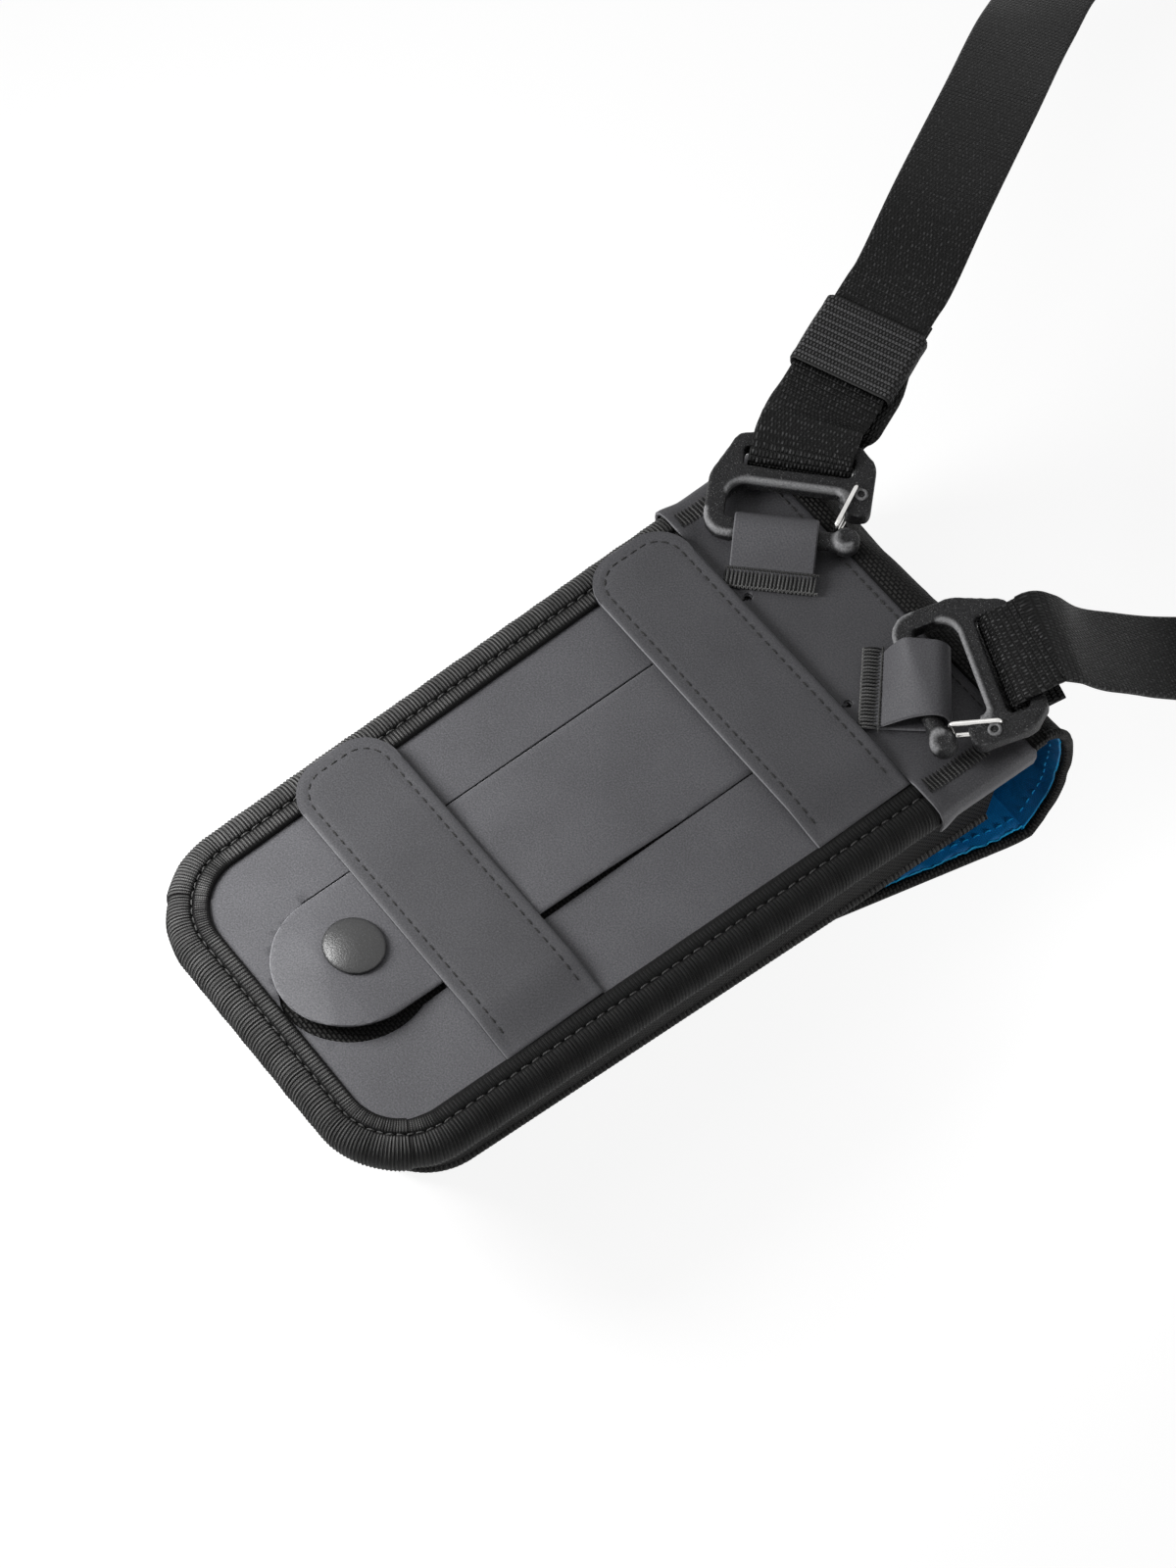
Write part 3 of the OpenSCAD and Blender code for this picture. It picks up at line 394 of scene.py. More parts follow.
def hook_metal():
    f = Finish("hook_metal", flat=False, Specular_IOR_Level=0.2)
    coat = f.noise(2.2, 3, 0.6)
    pits = f.cells(2.1)
    point = f.add("NewGeometry").outputs["Pointiness"]
    rim = f.attribute("rim")
    scuff = f.noise(0.5, 4, 0.65)
    # Convex edges and the rim lines are painted pale grey: partly worn coating, partly a painted highlight on
    # the arrises.
    edges = f.times(f.ramp(point, 0.52, 0.57), f.ramp(scuff, 0.42, 0.62))
    edge_wear_and_sheen = f.times(edges, 0.45)
    wear_and_sheen = math_node(f.tree, "MAXIMUM", edge_wear_and_sheen, f.times(rim, f.ramp(coat, 0.3, 0.62, 0.5, 1)))
    speck = f.ramp(f.noise(3.4, 1, 0.4), 0.64, 0.74)
    f.bump(pits, 0.12, 0.8)
    f.bump(coat, 0.12, 0.9)
    base = f.mix(f.ramp(coat, 0.35, 0.65), rgb(0.004), rgb(0.032, 0.032, 0.034))
    base = f.mix(f.times(speck, 0.75), base, rgb(0.26))
    base = f.mix(f.times(wear_and_sheen, 0.9), base, rgb(0.42, 0.42, 0.43))
    return f.done(base, f.ramp(wear_and_sheen, 0, 1, 0.5, 0.38))


def bright_steel(name, scale, strength, dark, light, smoothest, roughest):
    f = Finish(name, flat=False, Metallic=1.0)
    lines = f.noise(scale, 3, 0.6)
    f.bump(lines, 0.02, strength)
    return f.done(f.mix(lines, dark, light), f.ramp(lines, 0.3, 0.7, smoothest, roughest))


def wire_steel():
    return bright_steel("wire_steel", 0.6, 0.4, rgb(0.55, 0.54, 0.53), rgb(0.85, 0.84, 0.82), 0.14, 0.28)


def snap_steel():
    return bright_steel("snap_steel", 1.5, 0.5, rgb(0.45), rgb(0.72), 0.22, 0.4)


def snap_black():
    f = Finish("snap_black", flat=False, Specular_IOR_Level=0.9)
    coat = f.noise(1.9, 4, 0.6)
    speck = f.ramp(f.noise(2.9, 1, 0.4), 0.62, 0.72)
    f.bump(coat, 0.13, 1.0)
    base = f.mix(f.ramp(coat, 0.35, 0.65), rgb(0.005), rgb(0.016, 0.016, 0.017))
    base = f.mix(f.times(speck, 0.35), base, rgb(0.14))
    return f.done(base, f.ramp(coat, 0.3, 0.7, 0.34, 0.44))


def webbing():
    f = Finish("webbing", Specular_IOR_Level=0.15)
    threads = f.bricks(0.95, 1.5, 0.42)
    fuzz = f.noise(2.5, 2, 0.5)
    painted_glints = f.noise(0.9, 1, 0.4)
    f.bump(threads, 0.28, 1.0)
    f.bump(fuzz, 0.05, 0.6)
    # Scattered thread tops are painted pale, painted glints of light on the weave.
    top = f.mix(f.ramp(painted_glints, 0.48, 0.68), rgb(0.010), rgb(0.105, 0.105, 0.107))
    return f.done(f.mix(f.ramp(threads, 0.3, 0.95), rgb(0.0012), top), f.ramp(fuzz, 0.3, 0.7, 0.36, 0.5))


def elastic():
    f = Finish("elastic", Specular_IOR_Level=0.15)
    threads = f.bricks(0.92, 1.1, 0.36)
    rim = f.attribute("rim")
    fuzz = f.noise(2.0, 3, 0.6)
    f.bump(threads, 0.18, 1.0)
    f.bump(fuzz, 0.05, 0.6)
    base = f.mix(f.ramp(threads, 0.25, 0.9), rgb(0.003), rgb(0.15, 0.149, 0.153))
    # The rim attribute paints the keeper's edges lighter, a painted highlight.
    base = f.mix(f.times(rim, 0.5, clamp=True), base, rgb(0.10))
    return f.done(base, f.ramp(fuzz, 0.3, 0.7, 0.5, 0.68))


def tie():
    f = Finish("tie", Specular_IOR_Level=0.2)
    loops = f.noise(2.6, 4, 0.65)
    f.bump(loops, 0.2, 0.9)
    return f.done(f.mix(loops, rgb(0.006), rgb(0.04)), f.ramp(loops, 0.3, 0.7, 0.65, 0.85))


FINISHES = {made.__name__: made() for made in (
    tarpaulin, binding, woven, lining_blue, thread, tape, foam, hook_metal, wire_steel,
    snap_black, snap_steel, webbing, elastic, tie)}
CUTS = {}


# ---- mesh builders ---------------------------------------------------------------------
def note_cut(name, width, length, area):
    """Keeps the flat size of a cloth piece, in metres."""
    CUTS[name] = (width * MM, length * MM, min(area, width * length) * MM * MM)


def loop_area(loop):
    return abs(sum(a[0] * b[1] - b[0] * a[1] for a, b in zip(loop, loop[1:] + loop[:1]))) / 2


def add_piece(name, mesh, finish, body, replaces):
    mesh.materials.append(FINISHES[finish])
    piece = bpy.data.objects.new(name, mesh)
    bpy.context.scene.collection.objects.link(piece)
    if body:
        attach(piece, body)
    if replaces:
        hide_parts(*replaces)
    return piece


def add_mesh(name, verts, faces, finish, uvs=None, rim=None, sharp=48, shade=0.0, body="root", replaces=()):
    mesh = bpy.data.meshes.new(name)
    mesh.from_pydata([Vector(v) * MM for v in verts], [], faces)
    if uvs:
        layer = mesh.uv_layers.new(name="flat")
        for loop in mesh.loops:
            layer.data[loop.index].uv = uvs[loop.vertex_index]
    values = mesh.attributes.new("rim", "FLOAT", "POINT")
    if rim:
        values.data.foreach_set("value", rim)
    # A painted shade value darkens the whole piece in the tarpaulin finish.
    if shade:
        mesh.attributes.new("shade", "FLOAT", "POINT").data.foreach_set("value", [shade] * len(verts))
    made = bmesh.new()
    made.from_mesh(mesh)
    bmesh.ops.recalc_face_normals(made, faces=made.faces[:])
    made.to_mesh(mesh)
    made.free()
    mesh.shade_smooth()
    mesh.set_sharp_from_angle(angle=math.radians(sharp))
    return add_piece(name, mesh, finish, body, replaces)


def ring_faces(count, n, base=0):
    """Faces around count rings of n points, numbered from base, and over both ends."""
    faces = []
    for j in range(base, base + (count - 1) * n, n):
        for i in range(n):
            k = (i + 1) % n
            faces.append((j + i, j + k, j + n + k, j + n + i))
    end = base + (count - 1) * n
    return faces + [tuple(range(base, base + n)), tuple(range(end, end + n))]


def flattened(rows):
    return [value for row in rows for value in row]


def skin(name, rings, finish, uvs=None, ribs=None, **kw):
    """A closed surface around rings of points that have the same count."""
    return add_mesh(name, flattened(rings), ring_faces(len(rings), len(rings[0])), finish,
                    flattened(uvs or []), flattened(ribs or []), **kw)


def tube_rings(path, radius, sides, taper=None):
    """Rings around a path, turned as little as possible from one to the next."""
    rings = []
    up = None
    for i, p in enumerate(path):
        along = heading(path, i)
        if up is None:
            guess = Z_AXIS if abs(along.z) < 0.9 else X_AXIS
            up = along.cross(guess).normalized().cross(along)
        up = (up - along * up.dot(along)).normalized()
        side = along.cross(up)
        r = radius * (taper[i] if taper else 1)
        rings.append([p + side * r * math.cos(a) + up * r * math.sin(a) for a in around(sides)])
    return rings


def tubes(name, paths, radius, finish, tones=None, tone=0.5, **kw):
    """Many short threads in one mesh, each a tube with drawn-in ends."""
    sides, end_share = 6, 0.45
    verts, faces, uvs, light = [], [], [], []
    for number, path in enumerate(paths):
        path = [Vector(p) for p in path]
        taper = [end_share] + [1.0] * (len(path) - 2) + [end_share]
        faces += ring_faces(len(path), sides, len(verts))
        for at, ring in zip(lengths(path), tube_rings(path, radius, sides, taper)):
            verts += ring
            uvs += [(at, 2 * math.pi * radius * i / sides) for i in range(sides)]
            light += [tones[number] if tones else tone] * sides
    return add_mesh(name, verts, faces, finish, uvs, light, **kw)


def ribbed_tube(name, path, radius, sides, pitch, power, swell, uv_step, finish, lit=False, **kw):
    """A tube with round ribs across it."""
    total = lengths(path)
    ribs = [ribbed(at, pitch, power) for at in total]
    rings = []
    for p, rib, ring in zip(path, ribs, tube_rings(path, radius, sides)):
        scale = 1 + swell * (rib - 0.6)
        rings.append([p + (q - p) * scale for q in ring])
    return skin(name, rings, finish, [[(uv_step * k, at) for k in range(sides)] for at in total],
                ribs=[[rib] * sides for rib in ribs] if lit else None, sharp=80, **kw)


def normals_of(grid, wrap):
    rows, cols = len(grid), len(grid[0])
    out = []
    for i in range(rows):
        before, after = ((i - 1) % rows, (i + 1) % rows) if wrap else (max(i - 1, 0), min(i + 1, rows - 1))
        for j in range(cols):
            a = grid[after][j] - grid[before][j]
            b = grid[i][min(j + 1, cols - 1)] - grid[i][max(j - 1, 0)]
            out.append(b.cross(a).normalized())
    return out


def thick(name, grid, t, finish, uv=None, wrap=False, edge=0.4, rim_light=1.0, **kw):
    """A sheet with thickness and rounded rims around a grid of points. Rows run along the sheet."""
    rows, cols = len(grid), len(grid[0])
    low = rows * cols
    points, normal = flattened(grid), normals_of(grid, wrap)
    quads = [(i * cols + j, i * cols + j + 1, (i + 1) % rows * cols + j + 1, (i + 1) % rows * cols + j)
             for i in range(rows if wrap else rows - 1) for j in range(cols - 1)]
    along = [row[cols // 2] for row in grid]
    note_cut(name, max(lengths(row)[-1] for row in grid), lengths(along + along[:1] if wrap else along)[-1],
             sum((points[c] - points[a]).cross(points[d] - points[b]).length / 2 for a, b, c, d in quads))
    wide = lengths(grid[rows // 2])
    uvs = flattened(uv or [[(x, y) for x in wide] for y in lengths(along)]) * 2
    verts = [p + n * side * t / 2 for side in (1, -1) for p, n in zip(points, normal)]
    rim = [0.0] * len(verts)
    faces = []
    for q in quads:
        faces += [q, tuple(low + k for k in reversed(q))]
    if wrap:
        borders = [range(0, low, cols), range(low - 1, 0, -cols)]
    else:
        borders = [list(range(cols)) + list(range(2 * cols - 1, low, cols))
                   + list(range(low - 2, low - cols - 1, -1))
                   + list(range(low - 2 * cols, 0, -cols))]
    for border in borders:
        # Border points get rim_light, which the finishes paint as a lighter edge, a painted highlight.
        first = len(verts)
        for a in border:
            i, j = divmod(a, cols)
            inner = grid[i if wrap else min(max(i, 1), rows - 2)][min(max(j, 1), cols - 2)]
            away = points[a] - inner
            away -= normal[a] * away.dot(normal[a])
            verts.append(points[a] + away.normalized() * edge * t)
            uvs.append(uvs[a])
            rim.append(rim_light)
        for k, a in enumerate(border):
            after = (k + 1) % len(border)
            b, c, d = border[after], first + k, first + after
            faces += [(a, b, d, c), (low + b, low + a, c, d)]
    return add_mesh(name, verts, faces, finish, uvs, rim, **kw)


def cut_cells(loops, cell):
    """A flat outline with holes, filled and cut into cells."""
    made = bmesh.new()
    for loop in loops:
        ring = [made.verts.new((p[0], p[1], 0)) for p in loop]
        for a, b in zip(ring, ring[1:] + ring[:1]):
            made.edges.new((a, b))
    bmesh.ops.triangle_fill(made, use_beauty=True, use_dissolve=False, edges=made.edges[:])
    for axis, direction in enumerate((X_AXIS, Y_AXIS)):
        values = [v.co[axis] for v in made.verts]
        lo, hi = min(values), max(values)
        count = max(1, round((hi - lo) / cell))
        for k in range(1, count):
            bmesh.ops.bisect_plane(made, geom=made.verts[:] + made.edges[:] + made.faces[:], dist=1e-5,
                                   plane_co=direction * lerp(lo, hi, k / count), plane_no=direction)
    made.verts.index_update()
    made.verts.ensure_lookup_table()
    return made


def border_shifts(made, edge):
    """How far each point on the border draws in, to leave room for a rounded rim."""
    shifts = {}
    for v in made.verts:
        border = [e for e in v.link_edges if len(e.link_faces) == 1]
        if not border:
            continue
        out = Vector((0, 0, 0))
        for e in border:
            d = (e.verts[1].co - e.verts[0].co).normalized()
            side = Vector((d.y, -d.x, 0))
            middle = e.link_faces[0].calc_center_median()
            out += side if side.dot(v.co - middle) > 0 else -side
        inner = [e.calc_length() for e in v.link_edges if len(e.link_faces) == 2]
        shifts[v.index] = out.normalized() * -min([edge] + [0.45 * x for x in inner])
    return shifts


def plate(name, loops, t, finish, shape, cell=3.0, edge=0.25, **kw):
    """A flat outline with holes, cut into cells and carried by shape(x, y, height) to its place."""
    spans = [max(p[k] for p in loops[0]) - min(p[k] for p in loops[0]) for k in (0, 1)]
    note_cut(name, *spans, loop_area(loops[0]) - sum(loop_area(hole) for hole in loops[1:]))
    made = cut_cells(loops, cell)
    n = len(made.verts)
    shifts = border_shifts(made, edge)
    flat = [(v.co.x, v.co.y) for v in made.verts]
    verts = []
    for h in (t / 2, -t / 2):
        for v in made.verts:
            p = v.co + shifts.get(v.index, Vector())
            verts.append(shape(p.x, p.y, h))
    verts += [shape(*flat[k], h) for h in (t / 2 - edge, edge - t / 2) for k in shifts]
    uvs = flat + flat + [flat[k] for k in shifts] * 2
    # The upper border ring gets rim 1 and the lower ring -1: the tarpaulin finish paints a painted highlight
    # on the arris and a painted shadow on the cut side.
    rim = [0.0] * (2 * n) + [1.0] * len(shifts) + [-1.0] * len(shifts)
    upper = {k: 2 * n + i for i, k in enumerate(shifts)}
    lower = {k: 2 * n + len(shifts) + i for i, k in enumerate(shifts)}
    faces = []
    for face in made.faces:
        index = [v.index for v in face.verts]
        if face.normal.z < 0:
            index.reverse()
        faces += [tuple(index), tuple(n + k for k in reversed(index))]
    for e in made.edges:
        if len(e.link_faces) == 1:
            a, b = e.verts[0].index, e.verts[1].index
            faces += [(a, b, upper[b], upper[a]), (upper[a], upper[b], lower[b], lower[a]),
                      (lower[a], lower[b], n + b, n + a)]
    made.free()
    return add_mesh(name, verts, faces, finish, uvs, rim, **kw)


def stitch_paths(lines, shape, top, pitch, length, rise=0.2):
    """Arched stitches along flat lines, carried by shape to the surface that lies at height top."""
    out = []
    for line in lines:
        line = raised(line)
        total = lengths(line)[-1]
        count = max(1, int(total / pitch))
        slack = (total - count * pitch) / 2
        fine = resample(line, count=max(40, int(total / 0.2)))
        for k in range(count):
            start = slack + k * pitch + (pitch - length) / 2
            path = []
            for share, high in ((0, -0.14), (0.18, 0.65 * rise), (0.5, rise), (0.82, 0.65 * rise),
                                (1, -0.14)):
                p = fine[min(len(fine) - 1, round((start + share * length) / total * (len(fine) - 1)))]
                path.append(shape(p.x, p.y, top + high))
            out.append(path)
    return out


# ---- back ------------------------------------------------------------------------------
def relief(x, y):
    return 0.28 * wobble(x, y, 3.1, 0.035) * step(half_w(y) - 9 - abs(x), 0, 14)


def layer(mid_z):
    return lambda x, y, h: Vector((x, y, mid_z + h + relief(x, y)))


def panel_opening():
    half = TONGUE_HALF + 0.4
    right, left = TONGUE_X + half, TONGUE_X - half
    meet = math.degrees(math.acos((right - WINDOW_AT[0]) / WINDOW_R))
    hole = TONGUE_HALF + 0.2
    window = []
    for q in arc(*WINDOW_AT, WINDOW_R, 180, 360 + meet, 64):
        angle = math.degrees(math.atan2(q.y - WINDOW_AT[1], q.x - WINDOW_AT[0])) % 360
        tuck = 1.7 * step(angle, 186, 212) * step(angle, 276, 250) if angle > 180 else 0
        window.append(q.lerp(Vector(WINDOW_AT), tuck / WINDOW_R))
    return (window
            + arc(TONGUE_X + hole, SLIT_TOP_Y, STOP_R, -79, 180, 14)
            + arc(TONGUE_X - hole, SLIT_TOP_Y, STOP_R, 0, 259, 14)
            + [Vector((left, WINDOW_AT[1] + 0.4))])


def snap_hole(r):
    return arc(SNAP_X, SNAP_Y, r, 0, 345, 23)


OUTER = back_outline(SEAM_IN, PANEL_TOP_Y)
plate("back_panel_cloth", [OUTER, panel_opening()], TARP_T, "tarpaulin", layer(PANEL_MID), cell=3.5,
      replaces=["back_panel"])
plate("back_underlay_cloth", [OUTER, snap_hole(1.6)], UNDERLAY_T, "woven", layer(FOAM_Z + UNDERLAY_T / 2),
      cell=5, replaces=["back_underlay"])
plate("back_foam_sheet", [back_outline(SEAM_IN + 1, PANEL_TOP_Y), snap_hole(5.3)], FOAM_T, "foam",
      layer(LINING_Z + FOAM_T / 2), cell=6, edge=0.6, replaces=["back_foam"])
plate("back_lining_cloth", [OUTER], BACK_LINING_T, "lining_blue", layer(LINING_Z - BACK_LINING_T / 2), cell=5,
      edge=0.15, replaces=["back_lining"])


def tongue_shape(x, y, h):
    """The tongue runs in the panel, rises under the upper band, and turns up at the snap."""
    mid = lerp(PANEL_MID, 52.9, step(y, 22, -22))
    mid = lerp(mid, HINGE_Z, step(y, -22, HINGE_Y))
    slope = math.tan(math.radians(TONGUE_TILT))
    s = HINGE_Y - y
    rise = (math.hypot(s, 1.6) + s) / 2
    past = max(0.0, rise - 18.5)
    mid += slope * (rise - 0.75 * past)
    tilt = math.radians(TONGUE_TILT) * step(s, -3, 3)
    low = PANEL_MID + 0.6 * step(y, -70, -84)
    side = min(max((SNAP_X - 4.5 - x) / 14.5, 0.0), 1.0)
    toward = min(max((-0.42 * (x - TONGUE_X) - 0.906 * (y + TONGUE_END_Y) - 6.5) / 13, 0.0), 1.0)
    down = 1 - (1 - lerp(side, step(side), 0.35)) * (1 - 0.62 * lerp(toward, step(toward), 0.35))
    mid = lerp(mid, low, down)
    mid += 0.5 * step(x, TONGUE_X + 4, TONGUE_X + TONGUE_HALF) * step(y, 20, -20) * step(y, -62, -40)
    return Vector((x, y + h * math.sin(tilt) * (1 - down), mid + h * math.cos(tilt)))


def tongue_outline():
    right, left, top = TONGUE_X + TONGUE_HALF, TONGUE_X - TONGUE_HALF, SLIT_TOP_Y + 0.6
    end = TONGUE_END_Y - (TONGUE_END_Y + HINGE_Y) * (1 - math.cos(math.radians(TONGUE_TILT)))
    tip = arc(TONGUE_X, -end, TONGUE_HALF, 180, 360, 48)
    tip = [Vector((TONGUE_X + (p.x - TONGUE_X) * (1 - 0.02 * (p.x > TONGUE_X)), p.y)) for p in tip]
    side = [Vector((right - 0.75 * step(y, 15, -40), y)) for y in (-60, -40, -25, -12, 0, 12, 25, 60)]
    return tip + side + [Vector((right, top)), Vector((left, top))]


tongue = plate("tongue_cloth", [tongue_outline()], TARP_T, "tarpaulin", tongue_shape, cell=1.8, body=None,
               replaces=["tongue_strap", "tongue_tip"])


# The yoke lies over the panel and hangs down over the ends of the binding at both sides.
def yoke_shape(x, y, h):
    mid_z = BACK_H + TARP_T / 2
    flat = half_w(y) + 0.1 - YOKE_BEND
    s = abs(x) - flat
    h += 1.15 * step(y, 67, 60.5) * step(abs(x), half_w(y) - 12.5, half_w(y) - 9)
    if s <= 0:
        return Vector((x, y, mid_z + h + relief(x, y)))
    turn = min(s / YOKE_BEND, math.pi / 2)
    down = max(0.0, s - YOKE_BEND * math.pi / 2)
    out = flat + YOKE_BEND * math.sin(turn) + h * math.sin(turn) - 0.6 * step(down, 0, YOKE_HANG)
    return Vector((math.copysign(out, x), y, mid_z - YOKE_BEND * (1 - math.cos(turn)) + h * math.cos(turn)
                   - down))


def yoke_reach(y):
    return half_w(y) - YOKE_BEND + YOKE_BEND * math.pi / 2 + YOKE_HANG


def yoke_outline():
    top = PANEL_TOP_Y + 0.3
    line = [Vector((-yoke_reach(YOKE_LOW_Y), YOKE_LOW_Y))]
    for centre in (TONGUE_X - TONGUE_HALF - 0.2, TONGUE_X + TONGUE_HALF + 0.2):
        hole = arc(centre, SLIT_TOP_Y + 0.3, STOP_R, 260, -80, 16)
        line += [Vector((centre - 0.2, YOKE_LOW_Y))] + hole + [Vector((centre + 0.2, YOKE_LOW_Y))]
    return line + [Vector((yoke_reach(YOKE_LOW_Y), YOKE_LOW_Y)), Vector((yoke_reach(top), top)),
                   Vector((-yoke_reach(top), top))]


# The yoke is painted darker than the panel (0.27), a painted shade.
plate("yoke_cloth", [yoke_outline()], TARP_T, "tarpaulin", yoke_shape, cell=1.5, shade=0.27,
      replaces=["yoke"])
seam_end = half_w(YOKE_SEAM_Y) - 4.5
yoke_seam = [(-seam_end, YOKE_SEAM_Y), (seam_end, YOKE_SEAM_Y)]
tubes("yoke_stitches", stitch_paths([yoke_seam], yoke_shape, TARP_T / 2, 2.6, 2.0), 0.2, "thread", tone=0.2)


def yoke_bartacks():
    """A row of zigzag thread near each end of the yoke."""
    paths, tones = [], []
    for x, side in ((half_w(71) - 7.6, 1), (-half_w(71) + 5.2, -1)):
        for k in range(32):
            y = SLIT_TOP_Y + 0.56 * k
            ends = (-2.3, 2.3) if k % 2 else (2.3, -2.3)
            points = []
            for share, high in ((0, -0.1), (0.15, 0.2), (0.5, 0.3), (0.85, 0.2), (1, -0.1)):
                q = yoke_shape(x + lerp(*ends, share) + 0.023 * side * (y - 71), y + 0.5 * share, TARP_T / 2)
                points.append(q + Vector((0, 0, high)))
            paths.append(points)
            # The zag threads are painted black, a painted shade between the lighter zig threads.
            tones.append(random.uniform(0.4, 0.7) if k % 2 else 0.0)
    tubes("yoke_bartack_threads", paths, 0.28, "thread", tones=tones, replaces=["yoke_bartacks"])


yoke_bartacks()


# ---- binding ---------------------------------------------------------------------------
BINDING_SECTION = (  # inset, height, share of the ribs
    (10.5, 52.0, 0), (10.45, 52.9, 0), (10.1, 53.3, .5), (9.2, 53.42, 1), (8.1, 53.45, 1), (7.1, 53.4, .8),
    (6.55, 53.15, .3), (6.3, 52.75, 0), (6.05, 53.2, .5), (5.4, 53.72, 1), (4.3, 53.85, 1.2),
    (3.1, 53.72, 1.3), (2.0, 53.25, 1.3), (1.1, 52.45, 1.3), (0.45, 51.3, 1.3), (0.1, 49.9, 1.3),
    (0.0, 48.4, 1.3), (0.12, 46.9, 1.2), (0.6, 45.6, 1), (1.5, 44.6, .8), (2.9, 44.05, .5), (4.6, 43.95, .3),
    (6.0, 44.0, 0), (6.0, 45.1, 0), (1.55, 45.1, 0), (1.55, 52.0, 0))
BINDING_SEAM = 7
PLEATS = (((-35.5, -88.5), 1.0), ((37.9, -85.8), 1.15))


def binding_path():
    path = resample(open_path(back_outline(0, YOKE_LOW_Y + 2.5, 40)), count=int(470 / RIB * 6))
    return path, lengths(path)


def edge_binding(path, total):
    """The tape lies over its own fold at each pleat, swollen just after it and ribbed all along."""
    pleats = [(total[min(range(len(path)), key=lambda i: (path[i] - Vector(at)).length)], size)
              for at, size in PLEATS]
    last = len(BINDING_SECTION) - 1
    inner, runs = [], [0.0]
    for k, here in enumerate(BINDING_SECTION):
        a, b = BINDING_SECTION[k - 1], BINDING_SECTION[(k + 1) % (last + 1)]
        inner.append(Vector((b[1] - a[1], a[0] - b[0])).normalized())
        if k:
            runs.append(runs[-1] + math.dist(here[:2], a[:2]))
    rings, uvs, lights = [], [], []
    for i, p in enumerate(path):
        d = heading(path, i)
        inward = Vector((-d.y, d.x))
        rib_out = ribbed(total[i], RIB, 0.6) - 1
        rib_in = abs(math.sin(math.pi * (total[i] / RIB + 0.35))) ** 0.6 - 1
        under = step(min(total[i], total[-1] - total[i]), 0.5, 4.5)
        since = [((total[i] - at) / 7, size) for at, size in pleats]
        swell = sum(size * (1 - t) ** 1.5 for t, size in since if 0 <= t < 1)
        soft = 0.14 * wobble(total[i], 0, 1.3, 0.09)
        # The painted rib highlight is weaker at the lower right corner of the binding.
        ridge_light_share = 1.0 - 0.4 * step(p.x, 20, 44) * step(p.y, -94, -70)
        ring, light = [], []
        for k, (inset, z, share) in enumerate(BINDING_SECTION):
            rib, depth = (rib_out, 0.27) if k >= BINDING_SEAM else (rib_in, 0.2)
            # The rim value is a painted rib highlight: rib tops light and valleys near black, painted shade.
            light.append(ridge_light_share * min(1, share) * (1 + rib))
            amount = depth * share * rib
            if BINDING_SEAM < k < 19:
                amount += (0.55 * swell + soft * 0.8) * min(1, share)
            elif 0 < k < BINDING_SEAM:
                amount += 0.3 * swell + 0.4 * soft
            q = p + inward * (inset - inner[k].x * amount)
            height = z - inner[k].y * amount
            if z > BACK_H:
                height = lerp(BACK_H + (height - BACK_H) * 0.45, height, under)
            ring.append(Vector((q.x, q.y, height)))
        rings.append(ring)
        lights.append(light)
        uvs.append([(run, total[i]) for run in runs])
    skin("edge_binding_tape", rings, "binding", uvs, ribs=lights, sharp=70, replaces=["edge_binding"])


def binding_stitches(path, total):
    pitch, seam_in, seam_z = 3.1, 6.3, 52.95
    stitches = []
    count = int(total[-1] / pitch)
    for k in range(2, count - 1):
        stitch = []
        for share, high in ((0, -0.1), (0.2, 0.14), (0.5, 0.22), (0.8, 0.14), (1, -0.1)):
            i = int((k + 0.12 + 0.72 * share) / count * (len(path) - 1))
            d = (path[i + 1] - path[i]).normalized()
            q = path[i] + Vector((-d.y, d.x)) * (seam_in + 0.14 * (-1) ** k * (share - 0.5))
            stitch.append(Vector((q.x, q.y, seam_z + high)))
        stitches.append(stitch)
    tubes("edge_binding_stitches", stitches, 0.22, "thread", tone=0.4)


bind_path = binding_path()
edge_binding(*bind_path)
binding_stitches(*bind_path)


def straight_tape(name, half, spans, section, t, node_name):
    """A tape across the pouch whose section is given as points of Y and Z."""
    grid = [[Vector((lerp(-half, half, j / spans), y, z)) for j in range(spans + 1)] for y, z in section]
    thick(name, grid, t, "binding", replaces=[node_name])


straight_tape("top_seam_tape_cloth", half_w(TOP_Y) - 1, 30,
              [(y, 50.9) for y in (89.6, 90.6, 91.6, 92.6, 93.4)], 1.5, "top_seam_tape")


